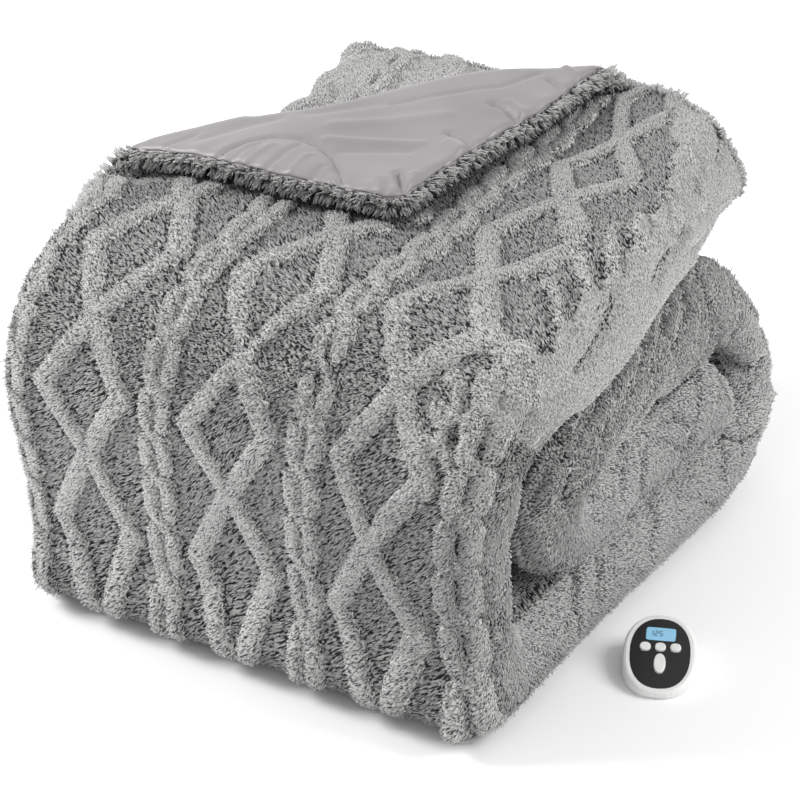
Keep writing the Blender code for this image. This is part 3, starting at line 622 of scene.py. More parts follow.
def showing(u, v):
    """1 where the plush shows on the outside of the pack, 0 where another ply lies on it."""
    x, _ = across(u, np.zeros_like(u))
    before, after = SHOW_EASE
    big = soft_step(U_BASE - before, U_BASE + after, u)
    big = big * soft_step(U_BIG_FOLD + before, U_BIG_FOLD - after, u)
    small = soft_step(U_FIRST - before, U_FIRST + after, u)
    small = small * soft_step(U_SMALL_FOLD + before, U_SMALL_FOLD - after, u)
    outside = (u > U_BIG_FOLD - after) * soft_step(*LOOP_COVERED, v)
    beyond, _, _ = turn_distance(x, v)
    outside = outside * np.where(u > U_BIG_FOLD, soft_step(0.0, -BESIDE_CREASE, beyond), 1)
    outside = outside * np.where(u > U_BIG_FOLD, soft_step(*UNDER_TURN, under_turn(x, v)), 1)
    bared = (u <= U_FIRST) * soft_step(0.0, BESIDE_CREASE, beyond)
    return np.maximum.reduce([SIDE_SHARE * big, small, outside, bared])


def rounded_corners(u, v):
    """Rounds the cloth's four corners: a square corner's points go to a quarter disc."""
    near = []
    for value, size in ((u, CLOTH_WIDTH), (v, CLOTH_LENGTH)):
        beyond = np.abs(value - size / 2) - size / 2 + CLOTH_CORNER
        near.append(np.clip(beyond, 0, None) / CLOTH_CORNER)
    a, b = near
    shift_u = a * (1 - np.sqrt(1 - b * b / 2)) * CLOTH_CORNER
    shift_v = b * (1 - np.sqrt(1 - a * a / 2)) * CLOTH_CORNER
    u, v = u - np.sign(u - CLOTH_WIDTH / 2) * shift_u, v - np.sign(v - CLOTH_LENGTH / 2) * shift_v
    return u, v


def ground_half(u, v):
    """Half the ground cloth's thickness, which rounds off at its edge."""
    edge = np.minimum.reduce([u, CLOTH_WIDTH - u, v, CLOTH_LENGTH - v])
    depth = np.clip(1 - edge / GROUND_HALF, 0, 1)
    return GROUND_HALF * np.sqrt(np.clip(1 - depth * depth, 0, 1))


def relief(u, v):
    """Height of the pattern where it shows."""
    low = place(u, v, np.zeros_like(u))[..., 2]
    drawn = (u > U_BASE) * soft_step(*DRAWN_SMOOTH[0], u) * soft_step(*DRAWN_SMOOTH[1], v)
    at_back = (u < SMOOTH_BACK[0]) & (v < SMOOTH_BACK[1])
    beside = soft_step(BESIDE_U, BESIDE_U - BESIDE_EASE, u)
    share = (1 - DRAWN_SHARE * drawn) * (1 - BACK_SHARE * at_back)
    share = share * (1 - BESIDE_SHARE * beside * (v > SMOOTH_BACK[1]))
    bold = 1.0
    for value, eases in ((u, BOLD_U), (v, BOLD_V)):
        for ease in eases:
            bold = bold * soft_step(*ease, value)
    height = RELIEF * pattern(u, v) * showing(u, v) * soft_step(*FLOOR_FADE, low)
    return height * share * (1 + BOLD_MORE * bold)


def away_from(u, v, line):
    """Distance of points to a line of several straight stretches."""
    away = np.full_like(u, 9.0)
    for (from_u, from_v), (to_u, to_v) in zip(line, line[1:]):
        run_u, run_v = to_u - from_u, to_v - from_v
        share = ((u - from_u) * run_u + (v - from_v) * run_v) / (run_u ** 2 + run_v ** 2)
        share = np.clip(share, 0, 1)
        away = np.minimum(away, np.hypot(u - from_u - share * run_u, v - from_v - share * run_v))
    return away


def furrowed(u, v, furrows):
    """Height of the soft hollows and ridges."""
    rise = np.zeros_like(u)
    for half, height, *line in furrows:
        half, height = half / 10000, height / 10000
        line = np.reshape(line, (-1, 2)) / 1000
        low, high = np.min(line, axis=0) - 3 * half, np.max(line, axis=0) + 3 * half
        near = (u > low[0]) & (u < high[0]) & (v > low[1]) & (v < high[1])
        if near.any():
            rise[near] += height * np.exp(-(away_from(u[near], v[near], line) / half) ** 2)
    return rise


def satin_rise(u, v):
    """How far the turned corner's back stands out beyond its plain thickness."""
    ripple = 0.0
    for inward, along, wave, phase in ((CLOTH_WIDTH - u, v, 31, 0), (v, u, 27, 1)):
        fade = np.exp(-(inward / EDGE_RIPPLE_DEEP) ** 2)
        uneven = 1.4 * np.sin(wave * along + phase)
        ripple = ripple + fade * np.sin(math.tau * along / EDGE_RIPPLE_PITCH + uneven)
    shows = (u > SATIN_REACH[0]) & (v < SATIN_REACH[1])
    return np.where(shows, furrowed(u, v, SATIN_FURROWS) + EDGE_RIPPLE * ripple, 0.0)


def plush_ground(u, v):
    """World points of the ground cloth's plush side, pattern and all."""
    half = ground_half(u, v)
    u, v = rounded_corners(u, v)
    return place(u, v, GROUND_MID + half + relief(u, v) + furrowed(u, v, PLUSH_FURROWS))


def flat_ground(u, v):
    """The plush side as it would be without its pattern."""
    return place(u, v, np.full_like(u, GROUND_MID + GROUND_HALF))


def back_ground(u, v):
    half = ground_half(u, v)
    rise = satin_rise(u, v) * half / GROUND_HALF
    u, v = rounded_corners(u, v)
    return place(u, v, GROUND_MID - half - rise)


def stations(steps, length):
    """Steps across the cloth, closer at its edges and where the pattern shows."""
    edge = np.array(EDGE_STEPS) * GROUND_HALF
    ends = [start for start, _ in steps[1:]] + [length - edge[-1]]
    inner = []
    start = edge[-1]
    for (_, step), end in zip(steps, ends):
        inner.append(np.linspace(start, end, max(2, int((end - start) / step)), endpoint=False))
        start = end
    return np.concatenate([edge[:-1], *inner, [length - edge[-1]], length - edge[-2::-1]])


def mesh_of(name, points, faces):
    mesh = bpy.data.meshes.new(name)
    mesh.vertices.add(len(points))
    mesh.vertices.foreach_set("co", np.ascontiguousarray(points, np.float32).ravel())
    size = faces.shape[1]
    mesh.loops.add(faces.size)
    mesh.loops.foreach_set("vertex_index", np.ascontiguousarray(faces, np.int32).ravel())
    mesh.polygons.add(len(faces))
    mesh.polygons.foreach_set("loop_start", np.arange(0, faces.size, size, dtype=np.int32))
    mesh.update(calc_edges=True)
    mesh.shade_smooth()
    return mesh


def new_object(name, data):
    made = bpy.data.objects.new(name, data)
    bpy.context.scene.collection.objects.link(made)
    return made


def add_piece(name, mesh, *materials):
    piece = new_object(name, mesh)
    for made_of in materials:
        mesh.materials.append(made_of)
    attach(piece, ROOT)
    return piece


def add_ground(materials):
    """The closed cloth itself: plush side, back and rounded edge."""
    u, v = np.meshgrid(
        stations(GROUND_U_STEPS, CLOTH_WIDTH), stations(GROUND_V_STEPS, CLOTH_LENGTH))
    rows, columns = u.shape
    points = np.concatenate([side(u, v).reshape(-1, 3) for side in (plush_ground, back_ground)])
    index = np.arange(rows * columns).reshape(rows, columns)
    under = index + rows * columns
    under[0], under[-1] = index[0], index[-1]
    under[:, 0], under[:, -1] = index[:, 0], index[:, -1]
    quads = []
    for grid, turn in ((index, 1), (under, -1)):
        sides = np.stack([grid[:-1, :-1], grid[:-1, 1:], grid[1:, 1:], grid[1:, :-1]], axis=-1)
        quads.append(sides.reshape(-1, 4)[:, ::turn])
    used, renumbered = np.unique(np.concatenate(quads), return_inverse=True)
    mesh = mesh_of("ground", points[used], renumbered.reshape(-1, 4))
    slots = np.ones(len(mesh.polygons), np.int32)
    middle = [0.25 * (a[:-1, :-1] + a[:-1, 1:] + a[1:, 1:] + a[1:, :-1]) for a in (u, v)]
    # Down in the creases and between the roll's turns the cloth takes the plain ground's darkest
    # grey: painted shade
    kind = np.where(creased(*middle), 0, pile_kind(*middle))
    slots[:len(quads[0])] = np.array(PLUSH_SLOTS)[kind].ravel()
    mesh.polygons.foreach_set("material_index", slots)
    fine = new_object("fine", mesh)
    for made_of in materials:
        mesh.materials.append(made_of)
    fewer = fine.modifiers.new("fewer faces where it is flat", "DECIMATE")
    fewer.ratio = GROUND_TRIANGLES / (2 * len(mesh.polygons))
    bpy.context.view_layer.update()
    evaluated = fine.evaluated_get(bpy.context.evaluated_depsgraph_get())
    light = bpy.data.meshes.new_from_object(evaluated)
    light.shade_smooth()
    bpy.data.objects.remove(fine)
    blanket = add_piece("blanket_cloth", light)
    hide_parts("blanket")
    return blanket


def pile_kind(u, v):
    """The kind of pile by its row in PILE: ground, raised pattern, drawn smooth, roll's side."""
    wander = SMOOTH_WANDER * (np.sin(47 * v + 0.7) + 0.6 * np.sin(113 * v))
    upper = U_BIG_FOLD - SMOOTH_FROM + wander + SMOOTH_WIDER * soft_step(0.16, 0.04, v)
    rolled = (u > U_BASE + SMOOTH_FROM) & (u < upper) & (v < SMOOTH_UNTIL + wander)
    rolled |= (u < SMOOTH_BACK[0] + wander) & (v < SMOOTH_BACK[1] + wander)
    raised = np.where(rolled, 0, relief(u, v) / RAISED_SHARE)
    raised = raised + furrowed(u, v, PLUSH_FURROWS) * RELIEF / RIDGE
    raised = raised * ((u > BESIDE_U) | (v < SMOOTH_BACK[1]))
    beside = (v > SIDE_FROM[0]) & (u > U_BASE - SMOOTH_WIDER) & (u < U_BIG_FOLD)
    beside &= (u < BESIDE_U + wander) | (v > SIDE_FROM[1])
    return np.where(beside, 3, np.where(raised > RELIEF, 1, np.where(rolled, 2, 0)))


def creased(u, v):
    """True down in the creases, and where one turn of the roll lies against the next."""
    between = (np.abs(u - U_BASE) < BETWEEN_HALF) & (v > SMOOTH_UNTIL)
    between |= (np.abs(u - U_BIG_FOLD) < BETWEEN_HALF) & (v > SMOOTH_AGAIN)
    return between | ((furrowed(u, v, PLUSH_FURROWS) < PARTED_DEPTH) & (u < CREASED_BELOW))


def parted(u, v):
    """The share of the tufts that part: at the pattern's foot and down in the creases."""
    share = relief(u, v) / RELIEF
    foot = np.where((share > PARTED_FOOT[0]) & (share < PARTED_FOOT[1]), PARTED_SHARE, 0.0)
    foot = np.maximum(foot, DENT_SHARE * (away_from(u, v, DENT) < DENT_HALF))
    return np.where(creased(u, v), CREASE_SHARE, foot)


def unit(vectors):
    return vectors / (np.linalg.norm(vectors, axis=-1, keepdims=True) + 1e-12)


def tangents(surface, a, b, step=0.0006):
    """Points, unit tangents along a and b, and unit normals of a surface."""
    along_a = unit(surface(a + step, b) - surface(a - step, b))
    along_b = unit(surface(a, b + step) - surface(a, b - step))
    return surface(a, b), along_a, along_b, unit(np.cross(along_a, along_b))


class OpenPlush:
    """Where the plush can be seen: rays from a coarse grid of it that get clear of the pack."""

    def __init__(self, blanket):
        self.tree = BVHTree.FromObject(blanket, bpy.context.evaluated_depsgraph_get())
        self.u = np.arange(0.002, CLOTH_WIDTH - 0.001, OPEN_STEP)
        self.v = np.arange(0.002, CLOTH_LENGTH - 0.001, OPEN_STEP)
        u, v = np.meshgrid(self.u, self.v)
        rows, columns = u.shape
        frames = [part.reshape(-1, 3) for part in tangents(plush_ground, u, v)]
        wide = np.pad(self.seen_from(*frames).reshape(u.shape), 1)
        self.seen = np.maximum.reduce([
            wide[i:i + rows, j:j + columns] for i in range(3) for j in range(3)])

    def seen_from(self, points, along_a, along_b, normal):
        seen = np.zeros(len(points), bool)
        angles = [k * math.pi / 3 for k in range(6)]
        turns = [(0.0, 0.0)]
        turns += [(OPEN_ASIDE * math.cos(angle), OPEN_ASIDE * math.sin(angle)) for angle in angles]
        for number in range(len(points)):
            start = Vector(points[number] + normal[number] * OPEN_START)
            if start.z < OPEN_FLOOR:
                continue
            for a, b in turns:
                way = Vector(normal[number] + along_a[number] * a + along_b[number] * b)
                way.normalize()
                above = start.z + way.z * OPEN_REACH > 0
                if above and self.tree.ray_cast(start, way, OPEN_REACH)[0] is None:
                    seen[number] = True
                    break
        return seen

    def at(self, u, v):
        i = np.clip(np.round((v - self.v[0]) / OPEN_STEP).astype(int), 0, len(self.v) - 1)
        j = np.clip(np.round((u - self.u[0]) / OPEN_STEP).astype(int), 0, len(self.u) - 1)
        return self.seen[i, j]


def scattered(rng, low_u, high_u, low_v, high_v, step_u, step_v):
    """A jittered grid of points."""
    u, v = np.meshgrid(np.arange(low_u, high_u, step_u), np.arange(low_v, high_v, step_v))
    u = u + (np.arange(u.shape[0])[:, None] % 2) * step_u / 2
    u = u + rng.uniform(-JITTER, JITTER, u.shape) * step_u
    v = v + rng.uniform(-JITTER, JITTER, v.shape) * step_v
    keep = (u > low_u) & (u < high_u) & (v > low_v) & (v < high_v)
    return u[keep], v[keep]


def flow(u, v):
    """The way the pile was last stroked, as an angle from +u towards +v."""
    turn = 0.62 + 0.16 * np.sin(9.0 * u + 4.0 * v + 0.6) + 0.14 * np.sin(13.0 * v - 7.0 * u + 1.9)
    turn = turn - 1.15 * soft_step(0.62, 0.44, v)
    return turn + 0.16 * np.sin(41.0 * u + 23.0 * v) * np.sin(37.0 * v)


def tuft_mesh(name, rng, frames, angle, tilt, wider, longer, size):
    """Tufts rooted in the cloth: a root edge and a tip edge across it, as a long tetrahedron."""
    points, along_a, along_b, normal = frames
    count = len(points)
    lean = unit(along_a * np.cos(angle)[:, None] + along_b * np.sin(angle)[:, None])
    axis = normal * np.cos(tilt)[:, None] + lean * np.sin(tilt)[:, None]
    side = unit(np.cross(axis, normal + rng.normal(0, 0.02, (count, 3))))
    over = np.cross(side, axis)
    length = size.length * (longer * rng.uniform(*TUFT_LENGTHS, count))[:, None]
    radius = size.radius * (wider * rng.uniform(*TUFT_RADII, count))[:, None]
    root = points - normal * size.sink
    start = rng.uniform(0, math.tau, count)[:, None]
    root_edge = radius * (np.cos(start) * side + np.sin(start) * over)
    tip_edge = TIP_WIDTH * np.cross(axis, root_edge)
    tip = root + axis * length + (lean * TIP_DROOP[0] - normal * TIP_DROOP[1]) * length
    corners = [root + root_edge, root - root_edge, tip + tip_edge, tip - tip_edge]
    corners = np.stack(corners, axis=1).reshape(-1, 3)
    corners[:, 2] = np.maximum(corners[:, 2], TUFT_FLOOR)
    first = 4 * np.arange(count)[:, None]
    mesh = mesh_of(name, corners, np.concatenate([first + face for face in TUFT_FACES]))
    tips = mesh.attributes.new("tip", "FLOAT", "POINT")
    tips.data.foreach_set("value", np.tile(np.array([0, 0, 1, 1], np.float32), count))
    return mesh


def add_tufts(name, rng, u, v, wider, size, made_of):
    """Tufts on the plush at u, v, in as many meshes as their number asks for."""
    order = rng.permutation(len(u))
    for number, part in enumerate(np.array_split(order, math.ceil(len(u) / MOST_TUFTS))):
        points, along_u, along_v, normal = tangents(plush_ground, u[part], v[part])
        _, _, _, flat_normal = tangents(flat_ground, u[part], v[part])
        frames = (points, along_u, along_v, unit(normal + flat_normal))
        angle = flow(u[part], v[part]) + rng.normal(0, 0.22, len(part))
        tilt = size.tilt + rng.normal(0, 0.14, len(part))
        mesh = tuft_mesh(name, rng, frames, angle, tilt, wider[part], 1.0, size)
        add_piece(f"{name}_{number + 1}", mesh, made_of)


def add_pile(seen, materials):
    """Pile wherever the plush shows, shorter and closer on the raised pattern and rolled side."""
    rng = np.random.default_rng(SEED)
    stretch = 1 + (GROUND_MID + GROUND_HALF) / PLY_PITCH
    bands = (
        (0.0, U_SMALL_FOLD, 1.0), (U_SMALL_FOLD, U_BASE, FAR_WIDER),
        (U_BASE, U_BIG_FOLD, 1 / stretch), (U_BIG_FOLD, CLOTH_WIDTH, 1.0))
    for kind, (name, spacing, size) in enumerate(PILE):
        found = [
            scattered(rng, low, high, 0.0, CLOTH_LENGTH, spacing * wider, spacing)
            for low, high, wider in bands]
        u, v = [np.concatenate(part) for part in zip(*found)]
        keep = seen.at(u, v)
        u, v = u[keep], v[keep]
        keep = pile_kind(u + rng.normal(0, PILE_MIXES, len(u)), v) == kind
        keep &= rng.uniform(size=len(u)) >= parted(u, v)
        u, v = u[keep], v[keep]
        _, _, _, normal = tangents(flat_ground, u, v)
        far = normal @ np.array(VIEWED_FROM) < 0
        keep = ~far | (rng.uniform(size=len(u)) < FAR_WIDER ** -2)
        u, v, far = u[keep], v[keep], far[keep]
        add_tufts(name, rng, u, v, np.where(far, FAR_WIDER, 1.0), size, materials[kind])


def rim_surface(side):
    """The rounded edge of one side of the cloth: length along it, and turn from back to plush."""
    def surface(along, turn):
        inward = GROUND_HALF * (1 - np.cos(turn))
        if side in ("u low", "u high"):
            u, v = inward, along
        else:
            u, v = along, inward
        if side == "u high":
            u = CLOTH_WIDTH - u
        if side == "v high":
            v = CLOTH_LENGTH - v
        half = ground_half(u, v) * np.sign(turn)
        return place(*rounded_corners(u, v), GROUND_MID + half)
    return surface


def add_rim(seen, made_of):
    """Curly locks of longer pile round the cloth's bare edges."""
    rng = np.random.default_rng(SEED + 1)
    jitter = rng.uniform(-0.3, 0.3, (2, 400, 8))
    around = (RIM_TURNS[0] * GROUND_HALF, RIM_TURNS[1] * GROUND_HALF)
    for number, (side, length, out) in enumerate((
        ("u high", CLOTH_LENGTH, 1), ("v low", CLOTH_WIDTH, 1),
        ("u low", CLOTH_LENGTH, -1), ("v high", CLOTH_WIDTH, -1),
    )):
        along, height = scattered(rng, 0.004, length - 0.004, *around, RIM_SPACING, RIM_SPACING)
        frames = list(tangents(rim_surface(side), along, height / GROUND_HALF))
        frames[3] = frames[3] * out
        clear = seen.seen_from(*frames)
        frames = [part[clear] for part in frames]
        along, height = along[clear], height[clear]
        if not len(along):
            continue
        lock = (along / LOCK).astype(int), ((height - around[0]) / LOCK).astype(int)
        to_along = (lock[0] + 0.5 + jitter[0][lock]) * LOCK - along
        to_round = (lock[1] + 0.5 + jitter[1][lock]) * LOCK + around[0] - height
        angle = np.arctan2(to_round, to_along) + rng.normal(0, 0.5, len(along))
        tilt = np.arctan(1.3 * np.hypot(to_along, to_round) / RIM_TUFT.length)
        tilt = tilt + rng.normal(0, 0.12, len(along))
        corner = (along > RIM_CORNER[1]) & (side == "v low")
        if side == "u high":
            corner = along < RIM_CORNER[0]
        longer = np.where(corner, 1.0, RIM_PLAIN)
        mesh = tuft_mesh("rim", rng, frames, angle, tilt, 1.0, longer, RIM_TUFT)
        add_piece(f"pile_rim_{number + 1}", mesh, made_of)


def feed(tree, node, inputs):
    """Sets each input of a node to a value, or joins it to another node's output."""
    for name, value in inputs.items():
        if isinstance(value, bpy.types.NodeSocket):
            tree.links.new(value, node.inputs[name])
        else:
            node.inputs[name].default_value = value
    return node


def add_node(tree, kind, inputs, operation=None):
    node = tree.nodes.new("ShaderNode" + kind)
    if operation:
        node.operation = operation
    return feed(tree, node, inputs)


def principled(name, roughness):
    """A new material, its node tree, its shader, and the places that its textures go by."""
    made = bpy.data.materials.new(name)
    made.use_nodes = True
    tree = made.node_tree
    shader = feed(tree, tree.nodes["Principled BSDF"], {"Roughness": roughness})
    return made, tree, shader, add_node(tree, "TexCoord", {}).outputs["Object"]


def ramped(tree, value, stops):
    """The colour for a value, between stops that are each a position and a colour."""
    ramp = add_node(tree, "ValToRGB", {"Fac": value})
    elements = ramp.color_ramp.elements
    for number, (position, colour) in enumerate(stops):
        stop = elements[number] if number < 2 else elements.new(1.0)
        stop.position = position
        stop.color = (*colour, 1)
    return ramp.outputs["Color"]


def noise_between(tree, place_at, scale, detail, greys):
    """A noise whose value picks a colour between two."""
    noise = add_node(tree, "TexNoise", {"Scale": scale, "Detail": detail, "Vector": place_at})
    return ramped(tree, noise.outputs["Fac"], zip(NOISE_STOPS, greys))


def mixed(tree, way, amount, first, second):
    mix = tree.nodes.new("ShaderNodeMix")
    mix.data_type = "RGBA"
    mix.blend_type = way
    return feed(tree, mix, {"Factor": amount, "A": first, "B": second}).outputs["Result"]


def ranged(tree, value, ends):
    """0 at the first end of the value's range, and 1 at the second."""
    scaled = add_node(tree, "MapRange", {"Value": value, "From Min": ends[0], "From Max": ends[1]})
    return scaled.outputs["Result"]


def bumped(tree, shader, height, strength, distance):
    bump = add_node(tree, "Bump", {"Strength": strength, "Distance": distance, "Height": height})
    feed(tree, shader, {"Normal": bump.outputs["Normal"]})


def drawn_out(tree, place_at, way):
    """Texture places drawn out along a way, so that a noise there makes streaks."""
    along = add_node(tree, "VectorMath", {0: place_at, 1: way}, "DOT_PRODUCT").outputs["Value"]
    back = [-STREAK_SHARE * c for c in way]
    part = add_node(tree, "VectorMath", {0: back, "Scale": along}, "SCALE").outputs["Vector"]
    return add_node(tree, "VectorMath", {0: place_at, 1: part}).outputs["Vector"]


def streaked_material(name, dark, light, scale, stops):
    """The plush between its tufts: fine streaks the way that the pile is stroked, their dark grey
    painted shade between the tufts.
    """
    made, tree, shader, place_at = principled(name, PLUSH_ROUGHNESS)
    normal = place_at.node.outputs["Normal"]
    upright = add_node(tree, "SeparateXYZ", {"Vector": normal}).outputs["Z"]
    noises = []
    for way in (FRONT_STREAKS, TOP_STREAKS):
        drawn = drawn_out(tree, place_at, way)
        noise = add_node(tree, "TexNoise", {"Scale": scale, "Detail": 1.0, "Vector": drawn})
        noises.append(noise.outputs["Fac"])
    mix = add_node(tree, "Mix", {
        "Factor": ranged(tree, upright, TOP_FACES), "A": noises[0], "B": noises[1]})
    streaks = mix.outputs["Result"]
    bumped(tree, shader, streaks, 0.7, 0.0016)
    colour = ramped(tree, streaks, zip(stops, (dark, light)))
    feed(tree, shader, {"Base Color": colour, "Specular IOR Level": PLUSH_SPECULAR})
    return made


def painted_shade_by_place(tree, place_at):
    """Painted shade: a share of the colour by place, darker to the right down the front and to the
    left on the top.
    """
    at = add_node(tree, "SeparateXYZ", {"Vector": place_at}).outputs
    past = add_node(tree, "Math", {0: at["X"], 1: ranged(tree, at["Y"], PAINTED_SHADE_BEHIND)})
    shades = []
    for row, x_at in ((PAINTED_SHADE_FRONT, past.outputs["Value"]), (PAINTED_SHADE_TOP, at["X"])):
        stops = [((x + PAINTED_SHADE_HALF) / (2 * PAINTED_SHADE_HALF), [share] * 3) for x, share in row]
        shades.append(ramped(tree, ranged(tree, x_at, (-PAINTED_SHADE_HALF, PAINTED_SHADE_HALF)), stops))
    return mixed(tree, "MIX", ranged(tree, at["Z"], PAINTED_SHADE_HEIGHTS), *shades)


def plush_material(name, dark, light, root, with_painted_shade):
    """Tufts between two greys, each with painted shade towards its root, where it keeps the share
    root of its tip's lightness.
    """
    made, tree, shader, place_at = principled(name, PLUSH_ROUGHNESS)
    tip = tree.nodes.new("ShaderNodeAttribute")
    tip.attribute_name = "tip"
    shades = [
        noise_between(tree, place_at, PLUSH_PATCHES, 3.0, PATCH_GREYS),
        # painted shade, darker towards each tuft's root
        ramped(tree, tip.outputs["Fac"], zip(ROOT_SHADE_STOPS, ([root] * 3, [1.0] * 3)))]
    # Painted shade by place, darker to the front's right and the top's left
    if with_painted_shade:
        shades.append(painted_shade_by_place(tree, place_at))
    colour = noise_between(tree, place_at, PLUSH_FIBRES, 2.0, (dark, light))
    for shade in shades:
        colour = mixed(tree, "MULTIPLY", 1.0, colour, shade)
    feed(tree, shader, {
        "Base Color": colour, "Specular IOR Level": PLUSH_SPECULAR, "Sheen Weight": 0.15,
        "Sheen Roughness": 0.45, "Sheen Tint": (0.9, 0.9, 0.92, 1)})
    return made


def satin_material():
    made, tree, shader, place_at = principled("satin", 0.42)
    weave = add_node(tree, "TexWave", {"Scale": 1400.0, "Vector": place_at})
    bumped(tree, shader, weave.outputs["Fac"], 0.06, 0.0002)
    colour = noise_between(tree, place_at, 9.0, 2.0, SATIN_GREYS)
    feed(tree, shader, {"Base Color": colour, "Sheen Weight": 0.25, "Sheen Roughness": 0.4})
    return made


def plastic(name, colour, roughness, grain, coat=0.0):
    made, tree, shader, place_at = principled(name, roughness)
    darker = [0.93 * c for c in colour]
    fine = add_node(tree, "TexNoise", {"Scale": 2600.0, "Vector": place_at})
    bumped(tree, shader, fine.outputs["Fac"], grain, 0.0001)
    feed(tree, shader, {
        "Base Color": noise_between(tree, place_at, 60.0, 2.0, (darker, colour)),
        "Coat Weight": coat, "Coat Roughness": 0.06})
    return made


def satin_lattice(above, below):
    """The satin's triangle in rows from its tip: points on its outer and inner side, and faces."""
    tip = np.array([CLOTH_WIDTH - SATIN_INSET, SATIN_INSET])
    side = np.array([tip[0], SATIN_SIDE])
    end = np.array([U_BIG_FOLD + FLAT_RIGHT - SATIN_END_X, tip[1]])
    spots = [(i, j) for i in range(SATIN_ROWS + 1) for j in range(i + 1)]
    steps = np.array(spots) / SATIN_ROWS
    flat = tip + np.outer(steps[:, 0] - steps[:, 1], side - tip) + np.outer(steps[:, 1], end - tip)
    half = ground_half(*flat.T)
    low = GROUND_MID - half - satin_rise(*flat.T) * half / GROUND_HALF
    u, v = rounded_corners(*flat.T)
    points = np.concatenate([place(u, v, low - above), place(u, v, low - below)])
    at = {spot: number for number, spot in enumerate(spots)}
    faces = []
    for i in range(SATIN_ROWS):
        for j in range(i + 1):
            faces.append((at[i, j], at[i + 1, j], at[i + 1, j + 1]))
            if j < i:
                faces.append((at[i, j], at[i + 1, j + 1], at[i, j + 1]))
    rows = range(SATIN_ROWS + 1)
    rim = [(i, 0) for i in rows] + [(SATIN_ROWS, j) for j in rows[1:]]
    rim += [(i, i) for i in rows[-2:0:-1]]
    count = len(spots)
    faces += [tuple(number + count for number in face[::-1]) for face in faces]
    for first, second in zip(rim, rim[1:] + rim[:1]):
        a, b = at[first], at[second]
        faces.append((a, b, b + count))
        faces.append((a, b + count, a + count))
    return points, np.array(faces)


def add_satin(made_of):
    points, faces = satin_lattice(SATIN_THICK + SATIN_GAP, SATIN_GAP)
    mesh = mesh_of("satin", points, faces)
    shaped = bmesh.new()
    shaped.from_mesh(mesh)
    bmesh.ops.recalc_face_normals(shaped, faces=shaped.faces[:])
    shaped.to_mesh(mesh)
    shaped.free()
    mesh.shade_smooth()
    satin = add_piece("satin_corner", mesh, made_of)
    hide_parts("satin_back")
    return satin


def add_stitches(made_of):
    """Short thread stitches in the trough of the quilting's scallop."""
    line = np.reshape(SATIN_FURROWS[0][2:], (-1, 2)) / 1000
    run = np.r_[0, np.cumsum(np.linalg.norm(np.diff(line, axis=0), axis=1))]
    at = np.arange(STITCH_PITCH / 2, run[-1], STITCH_PITCH)
    u, v = [np.interp(at, run, part) for part in line.T]
    keep = u < CLOTH_WIDTH - SATIN_INSET - STITCH_LENGTH
    u, v, at = u[keep], v[keep], at[keep]
    ahead = np.stack([np.interp(at + 0.001, run, part) for part in line.T]) - (u, v)
    ahead = ahead / np.linalg.norm(ahead, axis=0)

    def on_satin(u, v):
        low = GROUND_MID - GROUND_HALF - satin_rise(u, v)
        return place(u, v, low - SATIN_THICK - SATIN_GAP)

    points, along_u, along_v, normal = tangents(on_satin, u, v)
    normal = -normal
    along = unit(along_u * ahead[0][:, None] + along_v * ahead[1][:, None])
    side = np.cross(normal, along)
    rings = [points - along * STITCH_LENGTH / 2]
    for share in (-0.3, 0.3):
        for k in range(6):
            out = side * math.cos(k * math.tau / 6) + normal * math.sin(k * math.tau / 6)
            rings.append(points + along * STITCH_LENGTH * share + out * STITCH_RADIUS)
    rings.append(points + along * STITCH_LENGTH / 2)
    corners = np.stack(rings, axis=1)
    faces = []
    for k in range(1, 7):
        after = k % 6 + 1
        faces += [(0, after, k), (k, after, 6 + k)]
        faces += [(after, 6 + after, 6 + k), (13, 6 + k, 6 + after)]
    first = corners.shape[1] * np.arange(len(corners))[:, None, None]
    faces = (first + np.array(faces)[None]).reshape(-1, 3)
    mesh = mesh_of("stitches", corners.reshape(-1, 3), faces)
    add_piece("quilting_stitches", mesh, made_of)


def bar_corners(figure, middle):
    """The corners, flat on the display, of each lit bar of a seven-bar figure."""
    for letter in LIT[figure]:
        x, y, upright = BARS[letter]
        long = (FIGURE_TALL / 4 if upright else FIGURE_HALF_WIDE) * FIGURE_GAP
        half = (BAR_WIDE / 2, long) if upright else (long, BAR_WIDE / 2)
        at = (middle[0] + x * FIGURE_HALF_WIDE, middle[1] + y * FIGURE_TALL / 2)
        yield [(at[0] + a * half[0], at[1] + b * half[1]) for a, b in BAR_OUTLINE]


def add_figures(made_of):
    """Generic figures on the display."""
    turn = Matrix.Rotation(CONTROL_TURN, 4, "Z") @ Matrix.Rotation(CONTROL_TILT, 4, "X")
    height = BODY_FRONT + BODY_SIDE / 2 * math.sin(CONTROL_TILT)
    face = Matrix.Translation((*CONTROL_AT, height)) @ turn
    face = face @ Matrix.Translation((0, DISPLAY_Y, 0)) @ Matrix.Rotation(DISPLAY_TURN, 4, "Z")
    corners, faces = [], []
    for figure, middle in FIGURES:
        for outline in bar_corners(figure, middle):
            first = len(corners)
            for z in (PANE_TOP - FIGURE_DEEP, PANE_TOP + FIGURE_DEEP):
                corners += [tuple(face @ Vector((*corner, z))) for corner in outline]
            low, high = list(range(first, first + 8)), list(range(first + 8, first + 16))
            faces += [low[::-1], high]
            faces += [(low[k - 1], low[k], high[k], high[k - 1]) for k in (1, 2, 3, 4, 5, 6, 7, 0)]
    mesh = bpy.data.meshes.new("figures")
    mesh.from_pydata(corners, [], faces)
    add_piece("display_figures", mesh, made_of)


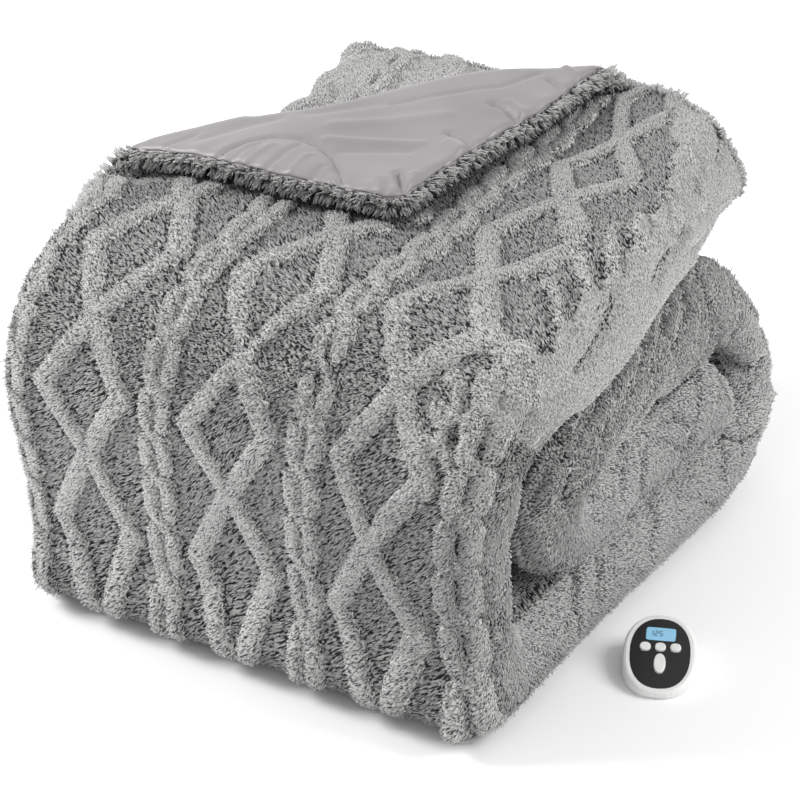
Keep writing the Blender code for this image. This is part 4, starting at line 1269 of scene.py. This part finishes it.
def dress_controller():
    """Better materials for the controller's CAD nodes, in their objects' own slots."""
    for looks, nodes in CONTROLLER_NODES:
        made_of = plastic(*looks)
        for node in nodes:
            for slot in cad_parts[node].material_slots:
                slot.link = "OBJECT"
                slot.material = made_of


def add_camera():
    back = Vector(VIEWED_FROM)
    camera = new_object("camera", bpy.data.cameras.new("camera"))
    camera.data.lens = CAMERA_LENS
    camera.location = CAMERA_LOOKS_AT + back * CAMERA_DISTANCE
    camera.rotation_euler = (-back).to_track_quat("-Z", "Y").to_euler()
    bpy.context.scene.camera = camera


def add_light(name, at, size, power):
    lamp = bpy.data.lights.new(name, "AREA")
    lamp.size = size
    lamp.energy = power
    light = new_object(name, lamp)
    light.location = at
    light.rotation_euler = (Vector(LIGHTS_AIM) - Vector(at)).to_track_quat("-Z", "Y").to_euler()


def add_studio():
    corners = [(a * FLOOR_HALF, b * FLOOR_HALF, 0) for a, b in ((-1, -1), (1, -1), (1, 1), (-1, 1))]
    mesh = bpy.data.meshes.new("floor")
    mesh.from_pydata(corners, [], [(0, 1, 2, 3)])
    floor = new_object("floor", mesh)
    made, tree, shader, _ = principled("pale floor", 0.9)
    feed(tree, shader, {"Base Color": (FLOOR_GREY, FLOOR_GREY, FLOOR_GREY, 1)})
    mesh.materials.append(made)
    world = bpy.data.worlds.new("studio")
    world.use_nodes = True
    background = world.node_tree.nodes["Background"]
    feed(world.node_tree, background, {"Color": (1, 1, 1, 1), "Strength": WORLD_STRENGTH})
    bpy.context.scene.world = world
    for row in LIGHTS:
        add_light(*row)
    bpy.context.scene.view_settings.view_transform = "Standard"


def main():
    add_camera()
    add_studio()
    roots = [streaked_material(*row) for row in GROUND_LOOKS]
    *piles, rim_pile = [plush_material(*row) for row in PILE_LOOKS]
    satin = satin_material()
    blanket = add_ground((roots[0], satin, *roots[1:]))
    seen = OpenPlush(blanket)
    add_pile(seen, piles)
    add_rim(seen, rim_pile)
    add_satin(satin)
    add_stitches(plastic(*THREAD_LOOKS))
    dress_controller()
    add_figures(plastic(*FIGURE_LOOKS))


main()
